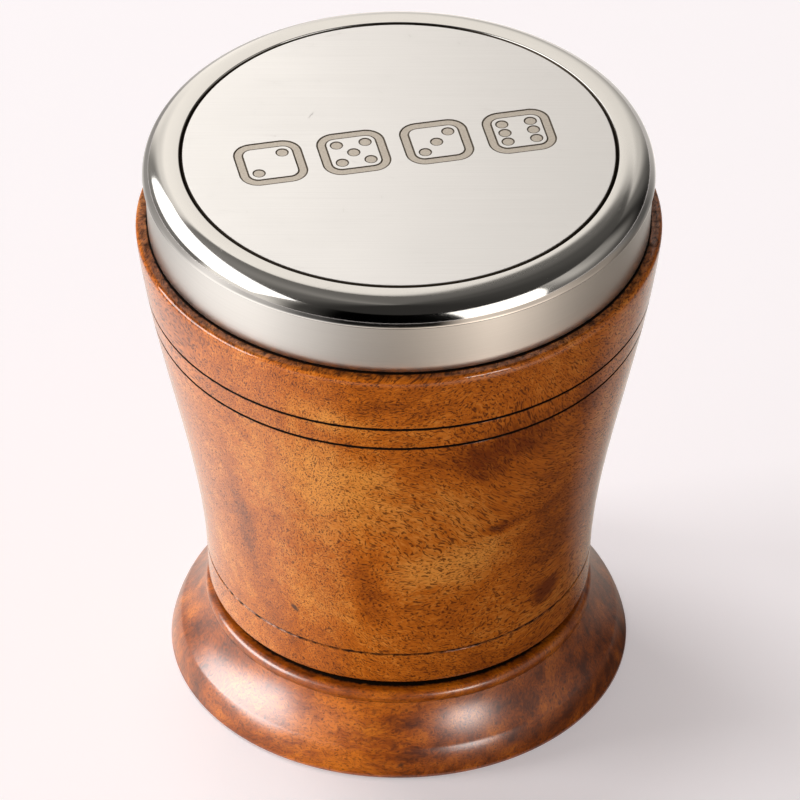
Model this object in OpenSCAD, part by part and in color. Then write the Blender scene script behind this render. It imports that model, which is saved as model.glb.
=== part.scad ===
// Turned wooden dice box on a separate foot, closed by a round metal lid.
// The origin is the centre of the underside, and +Z points up through the lid.

/* [Foot] */
// How far the foot stands out past the waist of the cup
foot_spread = 6.3; // [4:0.1:10]
// Height of the foot, up to the seat that carries the cup
foot_h = 13.3; // [11:0.1:18]
// How far the small bead round the top of the foot stands out past the waist of the cup
bead_out = 0.4; // [0:0.1:1.5]
// Radius of the bead
bead_r = 0.75; // [0.5:0.05:1]
// Height of the soft edge between the slope and the side of the foot
foot_edge_h = 4.9; // [3:0.1:7]
// How far the soft edge stands in from the widest part of the foot
foot_edge_in = 1.7; // [1:0.1:2.5]
// Sag of the slope between the bead and the soft edge
slope_sag = 0.45; // [0:0.05:1]
// Chamfer round the bottom of the foot
foot_chamfer = 0.5; // [0.2:0.1:0.7]
// How far the edge of the baize disc under the foot stays inside the edge of the foot
baize_margin = 5; // [4:0.5:12]
// Thickness of the baize disc
baize_t = 0.8; // [0.6:0.1:1.5]
// How far the baize stays above the table
baize_lift = 0.3; // [0.2:0.1:0.6]

/* [Cup] */
// Height of the cup from its seat on the foot to the shoulder under the lid
cup_h = 73.5; // [60:0.5:95]
// Diameter of the cup at its narrowest, just above the foot
waist_d = 63.4; // [63:0.2:66]
// How far the lip of the cup stands out past the band of the lid
lip_ledge = 1.6; // [1.3:0.05:3]
// How strongly the side still leans outwards under the lip
side_lean = 0.7; // [0.4:0.05:1]
// Radius of the lip
lip_r = 1.2; // [0.8:0.1:1.3]
// Radius of the rounded lower edge of the cup
hem_r = 1.6; // [1:0.1:2]
// Height of the dark gap between the cup and the foot
quirk_h = 1.5; // [1:0.1:2.5]
// Depth of the dark gap, from the lowest edge of the cup inwards
quirk_in = 1.5; // [1:0.1:3]
// Diameter of the tenon that is glued into the foot
tenon_d = 36; // [20:0.5:44]
// Length of the tenon
tenon_h = 8; // [5:0.1:9]
// Thickness of the cup's wall
wall_t = 5; // [3.5:0.1:5.3]
// Thickness of the cup's floor above its seat
floor_t = 6.7; // [4:0.1:9]
// Radius between the floor and the wall of the well
well_round = 3; // [2:0.1:4]
// Thickness of the turned neck that the lid slides over
neck_t = 3.2; // [2.4:0.1:4]
// Height from the shoulder down to where the well is a straight bore
mouth_depth = 6; // [2:0.5:12]

/* [Scribed lines] */
// Distance from the shoulder down to the first scribed line
scribe_top = 10.9; // [6:0.1:16]
// Distance between the two upper scribed lines
scribe_step = 4.5; // [3:0.1:8]
// Distance of the lower scribed line above the cup's seat
scribe_low = 8.2; // [5:0.1:14]
// Width of a scribed line
scribe_w = 0.55; // [0.3:0.05:0.8]
// Depth of a scribed line
scribe_depth = 0.4; // [0.2:0.05:0.6]

/* [Lid] */
// Outer diameter of the satin band
band_d = 81.8; // [78:0.2:88]
// Thickness of the satin band
band_t = 0.9; // [0.6:0.1:1.2]
// Height of the satin band
band_h = 9.2; // [7:0.1:14]
// How far the polished cap stands proud of the band
cap_proud = 0.4; // [0.2:0.05:0.6]
// Height and radius of the rounded edge of the cap
cap_round = 3.8; // [3.4:0.1:5]
// Thickness of the cap's top plate
plate_t = 1.2; // [0.8:0.1:1.3]
// Width of the flat ring between the disc and the rounded edge of the cap
disc_land = 2.5; // [1.5:0.1:8]
// Thickness of the disc
disc_t = 1.2; // [0.8:0.1:1.2]
// Chamfer on the two edges that make the groove round the disc
groove_chamfer = 0.25; // [0.1:0.05:0.4]
// Gap between the band and the felt liner under the cap
liner_room = 1; // [0.6:0.1:3]
// Thickness of the felt liner under the cap
liner_t = 1.3; // [0.8:0.1:1.3]

/* [Fits] */
// Clearance all round between the neck and the band
neck_clear = 0.15; // [0.1:0.05:0.3]
// Gap between the shoulder and the band
lid_gap = 0.2; // [0.1:0.05:0.5]
// Clearance between the liner and the top of the neck
liner_clear = 0.3; // [0.2:0.05:0.5]
// Clearance all round the disc in its recess
disc_clear = 0.05; // [0.03:0.01:0.1]
// Clearance round and under the tenon
tenon_clear = 0.1; // [0.05:0.05:0.2]
// Clearance all round the baize in its recess
baize_clear = 0.2; // [0.1:0.05:0.5]
// Clearance between the dice and the felt on the floor of the well
dice_clear = 0.2; // [0.1:0.05:0.5]

/* [Dice] */
// Width of a die
die_w = 14; // [13:0.5:14]
// Radius of the ball that rounds the corners of a die
die_ball = 10.5; // [10:0.1:11]
// Distance from the middle of a die's face to its outer pips
pip_step = 3.6; // [3:0.1:3.8]
// Radius of the cutter that makes a pip
pip_r = 1.2; // [0.8:0.1:1.4]
// Depth of a pip
pip_depth = 0.6; // [0.3:0.1:0.8]
// Room between the corners of the dice and the wall of the well
dice_room = 1.6; // [1:0.1:1.8]
// Thickness of the felt on the floor of the well
floor_felt_t = 1; // [0.6:0.1:2]
// Gap between the edge of that felt and the wall of the well
floor_felt_clear = 0.3; // [0.1:0.1:1]

/* [Hidden] */
$fn = 96;

// Points along a rounded edge and along the side of the cup
ARC_STEPS = 10;
SIDE_STEPS = 28;
// Small chamfers that break the turned edges
edge_break = 0.5;
// Angle below the level at which the bead on the foot ends
BEAD_END = 35;
// Share of the soft edge's height and setting-in at which the foot's side bends
SIDE_BEND = 2/3;
// How far a cutter runs past the face that it opens
over = 1;

// Radii
waist_r = waist_d/2;
foot_r = waist_r + foot_spread;
bead_top_r = waist_r + bead_out;
baize_r = foot_r - baize_margin;
quirk_r = waist_r - hem_r - quirk_in;
band_r = band_d/2;
rim_r = band_r + lip_ledge;
neck_r = band_r - band_t - neck_clear;
bore_r = neck_r - neck_t;
liner_r = band_r - band_t - liner_room;
cap_r = band_r + cap_proud;
disc_r = cap_r - cap_round - disc_land;

// Heights, from the table up
shoulder_z = foot_h + cup_h;
hem_z = foot_h + quirk_h;
side_low_z = hem_z + hem_r;
side_high_z = shoulder_z - lip_r;
well_z = foot_h + floor_t;
mouth_z = shoulder_z - mouth_depth;
band_z = shoulder_z + lid_gap;
cap_z = band_z + band_h;
top_z = cap_z + cap_round;
recess_z = top_z - disc_t;
plate_z = recess_z - plate_t;
liner_z = plate_z - liner_t;
neck_z = liner_z - liner_clear;
dice_z = well_z + floor_felt_t + dice_clear + die_w/2;
felt_r = side_r(well_z) - wall_t - well_round - floor_felt_clear;
dice_ring_r = side_r(dice_z) - wall_t - die_w/sqrt(2) - dice_room;

// Each die's twist about the upright, and the turn that brings a face up
DICE_TWIST = [10, -22, 34, -8, 24];
DICE_TURN = [[0, 0], [90, 0], [0, 90], [180, 0], [0, -90]];

// Radius of the cup's side at height z: an ogee from the waist to the lip
function side_u(z) = max(0, min(1, (z - side_low_z) / (side_high_z - side_low_z)));
function ogee(u) = 3*u*u - 2*u*u*u - side_lean*u*u*(1 - u);
function side_r(z) = waist_r + (rim_r - waist_r)*ogee(side_u(z));

// Points of an arc about a centre, those of a curve that bends once, and a list without its first point
function arc(c, r, a0, a1) =
    [for (i = [0:ARC_STEPS])
        let (a = a0 + (a1 - a0)*i/ARC_STEPS)
        c + r*[cos(a), sin(a)]];
function bend(p0, p1, p2) =
    [for (i = [0:ARC_STEPS])
        let (t = i/ARC_STEPS)
        (1 - t)*(1 - t)*p0 + 2*t*(1 - t)*p1 + t*t*p2];

function rest(points) = [for (i = [1:len(points) - 1]) points[i]];

// Points along the cup's side between two heights, without its ends, set in by a distance
function side_points(z0, z1, inset) =
    [for (i = [1:SIDE_STEPS - 1])
        let (z = z0 + (z1 - z0)*i/SIDE_STEPS)
        [side_r(z) - inset, z]];

// A sharp ring that scribes a line into the cup's side at height z
module scribe_cutter(z)
    rotate_extrude()
        polygon([[side_r(z) - scribe_depth, z],
                 [side_r(z) + scribe_depth, z - scribe_w],
                 [side_r(z) + scribe_depth, z + scribe_w]]);

module cup_outside()
    rotate_extrude()
        polygon(concat(
            [[0, foot_h - tenon_h],
             [tenon_d/2 - edge_break, foot_h - tenon_h],
             [tenon_d/2, foot_h - tenon_h + edge_break],
             [tenon_d/2, foot_h],
             [quirk_r, foot_h],
             [quirk_r, hem_z]],
            arc([waist_r - hem_r, side_low_z], hem_r, -90, 0),
            side_points(side_low_z, side_high_z, 0),
            arc([rim_r - lip_r, side_high_z], lip_r, 0, 90),
            [[neck_r, shoulder_z],
             [neck_r, neck_z - edge_break],
             [neck_r - edge_break, neck_z],
             [0, neck_z]]));

module cup_well() {
    round_z = well_z + well_round;
    round_c = [side_r(round_z) - wall_t - well_round, round_z];
    rotate_extrude()
        polygon(concat(
            [[0, well_z]],
            arc(round_c, well_round, -90, 0),
            [for (p = side_points(round_z, mouth_z, wall_t)) [min(p[0], bore_r), p[1]]],
            [[bore_r, mouth_z + mouth_depth/2],
             [bore_r, neck_z - edge_break],
             [bore_r + edge_break, neck_z],
             [bore_r + edge_break, neck_z + over],
             [0, neck_z + over]]));
}

module cup_body()
    color("#a8601f")
        difference() {
            cup_outside();
            cup_well();
            scribe_cutter(shoulder_z - scribe_top);
            scribe_cutter(shoulder_z - scribe_top - scribe_step);
            scribe_cutter(foot_h + scribe_low);
        }

module foot() {
    bead_c = [bead_top_r - bead_r, foot_h - bead_r];
    slope_top = bead_c + bead_r*[cos(BEAD_END), -sin(BEAD_END)];
    slope_low = [foot_r - foot_edge_in, foot_edge_h];
    slope_mid = (slope_top + slope_low)/2 - 2*slope_sag*[1, 0];
    side_low = [foot_r, foot_chamfer];
    side_mid = [foot_r - foot_edge_in*(1 - SIDE_BEND), foot_edge_h*SIDE_BEND];
    color("#7c3c17")
        difference() {
            rotate_extrude()
                polygon(concat(
                    [[0, 0],
                     [foot_r - foot_chamfer, 0]],
                    bend(side_low, side_mid, slope_low),
                    rest(bend(slope_low, slope_mid, slope_top)),
                    rest(arc(bead_c, bead_r, -BEAD_END, 90)),
                    [[0, foot_h]]));
            translate([0, 0, foot_h - tenon_h - tenon_clear])
                cylinder(r = tenon_d/2 + tenon_clear, h = tenon_h + tenon_clear + over);
            translate([0, 0, -over])
                cylinder(r = baize_r + baize_clear, h = over + baize_lift + baize_t);
        }
}

module base_baize()
    color("#24492f")
        translate([0, 0, baize_lift])
            cylinder(r = baize_r, h = baize_t);

module floor_felt()
    color("#2f5a3a")
        translate([0, 0, well_z])
            cylinder(r = felt_r, h = floor_felt_t);

module lid_band()
    color("#c9c6c0")
        translate([0, 0, band_z])
            difference() {
                cylinder(r = band_r, h = band_h);
                translate([0, 0, -over])
                    cylinder(r = band_r - band_t, h = band_h + 2*over);
            }

module lid_cap() {
    recess_r = disc_r + disc_clear;
    color("#dedbd6")
        rotate_extrude()
            polygon(concat(
                [[0, plate_z],
                 [band_r - band_t, plate_z],
                 [band_r - band_t, cap_z]],
                arc([cap_r - cap_round, cap_z], cap_round, 0, 90),
                [[recess_r + groove_chamfer, top_z],
                 [recess_r, top_z - groove_chamfer],
                 [recess_r, recess_z],
                 [0, recess_z]]));
}

module lid_disc()
    color("#e2ddd6")
        rotate_extrude()
            polygon([[0, recess_z],
                     [disc_r, recess_z],
                     [disc_r, top_z - groove_chamfer],
                     [disc_r - groove_chamfer, top_z],
                     [0, top_z]]);

module lid_liner()
    color("#2f5a3a")
        translate([0, 0, liner_z])
            cylinder(r = liner_r, h = liner_t);

// Places of the pips for a count, in steps from the middle of the face
function pips(count) = concat(
    count % 2 == 1 ? [[0, 0]] : [],
    count >= 2 ? [[1, 1], [-1, -1]] : [],
    count >= 4 ? [[1, -1], [-1, 1]] : [],
    count == 6 ? [[1, 0], [-1, 0]] : []);

// Cutters for one face of a die, for the face whose outward side is +Z
module pip_cutters(count)
    for (p = pips(count))
        translate([p[0]*pip_step, p[1]*pip_step, die_w/2 + pip_r - pip_depth])
            sphere(r = pip_r);

// One die about its own middle, opposite faces adding up to seven
module die()
    difference() {
        intersection() {
            cube(die_w, center = true);
            sphere(r = die_ball);
        }
        pip_cutters(1);
        rotate([180, 0, 0]) pip_cutters(6);
        rotate([90, 0, 0]) pip_cutters(2);
        rotate([-90, 0, 0]) pip_cutters(5);
        rotate([0, 90, 0]) pip_cutters(3);
        rotate([0, -90, 0]) pip_cutters(4);
    }

// A die in its place on the floor of the well, number 0 to 4
module placed_die(i)
    color("#efe6d0")
        rotate([0, 0, 72*i])
            translate([dice_ring_r, 0, dice_z])
                rotate([0, 0, DICE_TWIST[i]])
                    rotate([DICE_TURN[i][0], DICE_TURN[i][1], 0])
                        die();

module die_1() placed_die(0);
module die_2() placed_die(1);
module die_3() placed_die(2);
module die_4() placed_die(3);
module die_5() placed_die(4);

cup_body();
foot();
base_baize();
floor_felt();
lid_band();
lid_cap();
lid_disc();
lid_liner();
die_1();
die_2();
die_3();
die_4();
die_5();
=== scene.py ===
"""Looks of a turned wooden dice box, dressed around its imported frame.

The box stands on its foot, with the origin under its middle and +Z up through the lid. Sizes are
written in millimetres, as on a turner's drawing, and become metres where a mesh is made.
"""

import logging
import math
from collections.abc import Sequence
from dataclasses import dataclass, field
from enum import Enum
from typing import Any

import bmesh
import bpy
from mathutils import Matrix, Vector


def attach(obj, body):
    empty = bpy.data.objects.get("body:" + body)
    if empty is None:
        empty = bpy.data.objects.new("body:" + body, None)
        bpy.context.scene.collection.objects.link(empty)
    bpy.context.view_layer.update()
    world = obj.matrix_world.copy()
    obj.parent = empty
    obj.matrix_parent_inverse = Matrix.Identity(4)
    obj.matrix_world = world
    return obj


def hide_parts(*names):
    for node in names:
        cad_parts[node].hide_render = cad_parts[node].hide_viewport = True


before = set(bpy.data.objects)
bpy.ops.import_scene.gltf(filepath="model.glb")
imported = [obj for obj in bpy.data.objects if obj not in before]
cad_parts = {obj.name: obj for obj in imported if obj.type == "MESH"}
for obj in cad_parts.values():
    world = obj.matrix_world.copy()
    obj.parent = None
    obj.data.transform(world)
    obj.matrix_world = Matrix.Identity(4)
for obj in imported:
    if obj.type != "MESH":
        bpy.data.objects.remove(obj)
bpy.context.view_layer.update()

MM = 0.001
SMOOTH_UNDER = math.radians(30)
ENGRAVED_SHARP = math.radians(8.0)
FLAT_UNDER = math.radians(0.2)
WELD = 1e-6
KNOT = (0.04, 0.018, 0.009)
# Colour of the burnt scribed lines, and of painted shade in the wood's gaps, creases and under the lid's band
WOOD_BURN_AND_SHADE = (0.006, 0.003, 0.0015)
# Colour of oxide in the lid's groove, and of painted shade in the groove and in the crease under the cap
METAL_OXIDE_AND_SHADE = (0.055, 0.042, 0.03)
# How much duller the burnt, oxidised and painted-shade places are
MARK_AND_SHADE_ROUGHNESS = 0.3
HALF = 0.5
RIGHT = Vector((1.0, 0.0, 0.0))
UP = Vector((0.0, 0.0, 1.0))

log = logging.getLogger("dice_box")

Socket = bpy.types.NodeSocket
Outputs = bpy.types.NodeOutputs
Colour = tuple[float, float, float]
Point = tuple[float, float, float]
# A row of places, each with the level there
Stops = tuple[tuple[float, float], ...]


class Slot(Enum):
    """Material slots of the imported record."""

    CUP_WOOD = "cup_wood"
    FOOT_WOOD = "foot_wood"
    BAIZE = "baize"
    FELT = "felt"
    SATIN = "satin_metal"
    POLISHED = "polished_metal"
    BRUSHED = "brushed_metal"
    DIE = "die"


class Body(Enum):
    """Moving bodies that the pieces ride on, besides the dice."""

    BOX = "box"
    LID = "lid"


class Brushing(Enum):
    """How the fine lines of a metal face run, as factors of the three axes of their noise."""

    STRAIGHT = (0.035, 4.2, 4.2)
    ROUND = (0.05, 0.05, 5.0)
    BUFFED = (0.3, 0.3, 0.3)
    ETCHED = (3.2, 3.2, 3.2)


class Graph:
    """Adds nodes to a node tree and links them."""

    def __init__(self, tree: bpy.types.NodeTree) -> None:
        """Takes the tree that the nodes go into."""
        self.tree = tree

    @staticmethod
    def pick(sockets: Sequence[Socket], key: int | str) -> Socket:
        """Finds a socket by its place, or by its name among those in use.

        Args:
            sockets: A node's inputs or outputs.
            key: The socket's place or name.

        Returns:
            The socket.
        """
        if isinstance(key, int):
            return sockets[key]
        return next(s for s in sockets if s.name == key and s.enabled)

    @classmethod
    def blank(cls, owner: bpy.types.Material | bpy.types.World) -> "Graph":
        """Empties the tree of a material or a world.

        Args:
            owner: The material or the world.

        Returns:
            The graph of its tree.
        """
        owner.use_nodes = True
        owner.node_tree.nodes.clear()
        return cls(owner.node_tree)

    def feed(self, node: bpy.types.Node, feeds: dict[int | str, Any]) -> None:
        """Sets or links inputs of a node.

        Args:
            node: The node.
            feeds: Values or sockets for its inputs, by place or name.
        """
        for key, value in feeds.items():
            socket = self.pick(node.inputs, key)
            if isinstance(value, Socket):
                self.tree.links.new(value, socket)
            else:
                socket.default_value = value

    def add(self, kind: str, feeds: dict[int | str, Any] | None = None, **settings: Any) -> bpy.types.Node:
        """Adds one node.

        Args:
            kind: The node's type name.
            feeds: Values or sockets for its inputs, by place or name.
            **settings: Properties of the node, set before its inputs.

        Returns:
            The new node.
        """
        node = self.tree.nodes.new(kind)
        for name, value in settings.items():
            setattr(node, name, value)
        self.feed(node, feeds or {})
        return node

    def get(self, kind: str, feeds: dict[int | str, Any] | None = None, output: int | str = 0,
            **settings: Any) -> Socket:
        """Adds one node, as add does, and returns one of its outputs."""
        return self.pick(self.add(kind, feeds, **settings).outputs, output)

    def math(self, operation: str, *values: float | Socket, clamp: bool = False) -> Socket:
        """Adds a math node and returns its result."""
        return self.get("ShaderNodeMath", dict(enumerate(values)), operation=operation, use_clamp=clamp)

    def vector(self, operation: str, *values: Point | Socket, scale: float | Socket | None = None) -> Socket:
        """Adds a vector math node.

        Args:
            operation: The node's operation.
            *values: Its vectors.
            scale: The factor of a SCALE operation.

        Returns:
            The vector result, or the number for a length or a dot product.
        """
        feeds: dict[int | str, Any] = dict(enumerate(values))
        if scale is not None:
            feeds["Scale"] = scale
        output = "Value" if operation in ("LENGTH", "DOT_PRODUCT") else "Vector"
        return self.get("ShaderNodeVectorMath", feeds, output=output, operation=operation)

    def span(self, value: Socket, low: float | Socket, high: float | Socket) -> Socket:
        """Eases a value into the range from 0 to 1.

        Args:
            value: The number to ease.
            low: Value that gives 0.
            high: Value that gives 1.

        Returns:
            The eased number.
        """
        feeds = {"Value": value, "From Min": low, "From Max": high}
        return self.get("ShaderNodeMapRange", feeds, interpolation_type="SMOOTHSTEP")

    def blend(self, factor: float | Socket, first: Any, second: Any, kind: str = "MIX") -> Socket:
        """Mixes two colours.

        Args:
            factor: Share of the second colour.
            first: First colour or socket.
            second: Second colour or socket.
            kind: The way of mixing.

        Returns:
            The mixed colour.
        """
        feeds: dict[int | str, Any] = {"Factor": factor}
        for name, colour in (("A", first), ("B", second)):
            feeds[name] = colour if isinstance(colour, Socket) else (*colour, 1.0)
        return self.get("ShaderNodeMix", feeds, output="Result", data_type="RGBA", blend_type=kind)

    def swing(self, value: Socket, share: float | Socket) -> Socket:
        """Moves a value of 0 to 1 to swing about zero, scales it by share and returns it."""
        return self.math("MULTIPLY", self.math("SUBTRACT", value, HALF), share)

    def named(self, name: str, kind: str) -> Socket:
        """Reads a named attribute of a data type and returns its value."""
        return self.get("GeometryNodeInputNamedAttribute", {"Name": name}, data_type=kind)

    def realize(self, geometry: Socket) -> Socket:
        """Makes instances real and returns the geometry."""
        return self.get("GeometryNodeRealizeInstances", {"Geometry": geometry})

    def dress(self, geometry: Socket, finish: Socket, selection: Socket | bool = True) -> Socket:
        """Sets a material on a geometry, or on the faces of a selection, and returns it."""
        feeds = {"Geometry": geometry, "Material": finish, "Selection": selection}
        return self.get("GeometryNodeSetMaterial", feeds)

    def scatter(self, points: Socket, instance: Socket, selection: Socket | bool = True) -> Socket:
        """Puts an instance on points, or on those of a selection, and returns the instances."""
        feeds = {"Points": points, "Instance": instance, "Selection": selection}
        return self.get("GeometryNodeInstanceOnPoints", feeds)

    def transform(self, geometry: Socket, move: Socket, **turn: Socket) -> Socket:
        """Moves a geometry, turns it where a Rotation is given, and returns it."""
        return self.get("GeometryNodeTransform", {"Geometry": geometry, "Translation": move, **turn})

    def along_z(self, value: Socket) -> Socket:
        """Makes a value the height of a vector and returns the vector."""
        return self.get("ShaderNodeCombineXYZ", {2: value})

    def noise(self, vector: Socket, scale: float | Socket, detail: float = 2.0, roughness: float = 0.5,
              stretch: Point | Socket | None = None) -> Socket:
        """Adds a noise texture.

        Args:
            vector: Where it is read.
            scale: Its scale.
            detail: Its number of octaves.
            roughness: Share that each finer octave keeps.
            stretch: Factors for the three parts of the vector.

        Returns:
            The noise, from 0 to 1.
        """
        place = vector if stretch is None else self.vector("MULTIPLY", vector, stretch)
        feeds = {"Vector": place, "Scale": scale, "Detail": detail, "Roughness": roughness}
        return self.get("ShaderNodeTexNoise", feeds)

    def drift(self, vector: Socket, scale: float | Socket) -> Socket:
        """Makes a smooth noise of vectors that swing about zero.

        Args:
            vector: Where it is read.
            scale: Its scale.

        Returns:
            The vectors.
        """
        feeds = {"Vector": vector, "Scale": scale, "Detail": 1.0}
        wander = self.get("ShaderNodeTexNoise", feeds, output="Color")
        return self.vector("SUBTRACT", wander, (HALF, HALF, HALF))

    def cells(self, vector: Socket, feature: str) -> Outputs:
        """Adds a cell texture that shows a feature and returns its outputs."""
        return self.add("ShaderNodeTexVoronoi", {"Vector": vector, "Scale": 1.0}, feature=feature).outputs

    def group(self, tree: bpy.types.NodeTree, feeds: dict[int | str, Any]) -> Outputs:
        """Places a shader group, sets its inputs and returns its outputs."""
        return self.add("ShaderNodeGroup", feeds, node_tree=tree).outputs


def start_group(name: str, kind: str, inputs: Sequence[tuple[str, str, Any]],
                outputs: Sequence[tuple[str, str]]) -> tuple[Graph, Outputs, bpy.types.Node]:
    """Makes an empty node group with its sockets.

    Args:
        name: The group's name.
        kind: ShaderNodeTree or GeometryNodeTree.
        inputs: Name, type and default value of each input.
        outputs: Name and type of each output.

    Returns:
        The graph, the outputs of its input node, and its output node.
    """
    tree = bpy.data.node_groups.new(name, kind)
    for label, sort, default in inputs:
        socket = tree.interface.new_socket(label, in_out="INPUT", socket_type=f"NodeSocket{sort}")
        if default is not None:
            socket.default_value = default
    for label, sort in outputs:
        tree.interface.new_socket(label, in_out="OUTPUT", socket_type=f"NodeSocket{sort}")
    graph = Graph(tree)
    return graph, graph.add("NodeGroupInput").outputs, graph.add("NodeGroupOutput")


# Outlines and meshes


@dataclass
class Outline:
    """Outline of a turned piece, from the axis underneath, outwards, up and back.

    Each point is a radius, a height and how dark the surface is made there, from 0 to 1: burnt lines and
    oxide, and painted shade in gaps, creases and under overhangs.
    """

    points: list[Point] = field(default_factory=list)

    def to(self, radius: float, height: float, marks_and_shade: float = 0.0) -> "Outline":
        """Adds one point and returns the outline."""
        self.points.append((radius, height, marks_and_shade))
        return self

    def arc(self, centre: tuple[float, float], radius: float, start: float, end: float,
            steps: int = 14, marks_and_shade: float = 0.0, flatten: float = 1.0) -> "Outline":
        """Adds an arc.

        Args:
            centre: Radius and height of its centre.
            radius: Radius of the arc.
            start: First angle in degrees, 0 outwards and 90 up.
            end: Last angle in degrees.
            steps: Number of its chords.
            marks_and_shade: How dark its points are made, by marks and by painted shade.
            flatten: Its height as a share of its width.

        Returns:
            The outline.
        """
        for i in range(steps + 1):
            a = math.radians(start + (end - start) * i / steps)
            self.to(centre[0] + radius * math.cos(a), centre[1] + flatten * radius * math.sin(a), marks_and_shade)
        return self

    def bend(self, middle: tuple[float, float], end: tuple[float, float], steps: int = 14) -> "Outline":
        """Adds a curve that bends once, from the last point.

        Args:
            middle: Point that it bends towards.
            end: Its end.
            steps: Number of its chords.

        Returns:
            The outline.
        """
        x0, y0, _ = self.points[-1]
        for i in range(1, steps + 1):
            t = i / steps
            a, b, c = (1 - t) ** 2, 2 * t * (1 - t), t * t
            self.to(a * x0 + b * middle[0] + c * end[0], a * y0 + b * middle[1] + c * end[1])
        return self

    def line(self, radius: float, height: float, steps: int, marks_and_shade: float = 0.0) -> "Outline":
        """Adds a straight run of several points.

        Args:
            radius: Radius of its end.
            height: Height of its end.
            steps: Number of its points.
            marks_and_shade: How dark its points are made, by marks and by painted shade.

        Returns:
            The outline.
        """
        x0, y0, _ = self.points[-1]
        for i in range(1, steps + 1):
            self.to(x0 + (radius - x0) * i / steps, y0 + (height - y0) * i / steps, marks_and_shade)
        return self

    def mesh(self, name: str) -> bpy.types.Mesh:
        """Makes the outline's points a mesh that a tree can turn.

        Args:
            name: The mesh's name.

        Returns:
            The mesh, in metres, with the darkness of its marks and painted shade as an attribute.
        """
        places = [(r * MM, 0.0, z * MM) for r, z, _ in self.points]
        mesh = point_mesh(name, places)
        layer = mesh.attributes.new("marks_and_shade", "FLOAT", "POINT")
        layer.data.foreach_set("value", [s for *_, s in self.points])
        return mesh


def point_mesh(name: str, places: Sequence[Point]) -> bpy.types.Mesh:
    """Makes a mesh of loose points.

    Args:
        name: The mesh's name.
        places: The points, in metres.

    Returns:
        The mesh.
    """
    mesh = bpy.data.meshes.new(name)
    mesh.from_pydata(places, [], [])
    return mesh


def grow(name: str, start: bpy.types.Mesh, tree: bpy.types.NodeTree,
         sizes: dict[str, Any]) -> bpy.types.Object:
    """Runs a Geometry Nodes tree on a mesh and keeps the result as a plain mesh.

    Args:
        name: Name of the new object.
        start: The mesh that goes into the tree.
        tree: The tree.
        sizes: Values of the tree's inputs by name.

    Returns:
        An object at the origin that holds the result.
    """
    carrier = bpy.data.objects.new(f"{name}_start", start)
    bpy.context.scene.collection.objects.link(carrier)
    modifier = carrier.modifiers.new("Make", "NODES")
    modifier.node_group = tree
    for item in tree.interface.items_tree:
        if item.item_type == "SOCKET" and item.in_out == "INPUT" and item.name in sizes:
            modifier[item.identifier] = sizes[item.name]
    depsgraph = bpy.context.evaluated_depsgraph_get()
    mesh = bpy.data.meshes.new_from_object(carrier.evaluated_get(depsgraph))
    carrier.modifiers.remove(modifier)
    bpy.data.objects.remove(carrier)
    mesh.name = name
    return show(name, mesh)


def show(name: str, mesh: bpy.types.Mesh) -> bpy.types.Object:
    """Puts a mesh into the scene.

    Args:
        name: Name of the new object.
        mesh: Its mesh.

    Returns:
        The object, at the origin.
    """
    piece = bpy.data.objects.new(name, mesh)
    bpy.context.scene.collection.objects.link(piece)
    return piece


def face_outwards(mesh: bpy.types.Mesh) -> None:
    """Welds a closed mesh and turns all its faces outwards.

    Args:
        mesh: The mesh, which is changed.
    """
    work = bmesh.new()
    work.from_mesh(mesh)
    bmesh.ops.remove_doubles(work, verts=work.verts, dist=WELD)
    bmesh.ops.recalc_face_normals(work, faces=work.faces)
    work.to_mesh(mesh)
    work.free()


def settle(piece: bpy.types.Object, body: str, node: str) -> bpy.types.Object:
    """Makes a piece ride on its body and stand for a CAD node, whose part it hides.

    Args:
        piece: The finished object.
        body: Name of the body.
        node: The CAD node that it replaces.

    Returns:
        The piece.
    """
    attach(piece, body)
    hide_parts(node)
    log.info("%s: %d faces, rides on %s", piece.name, len(piece.data.polygons), body)
    return piece


# Geometry Nodes trees


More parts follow.
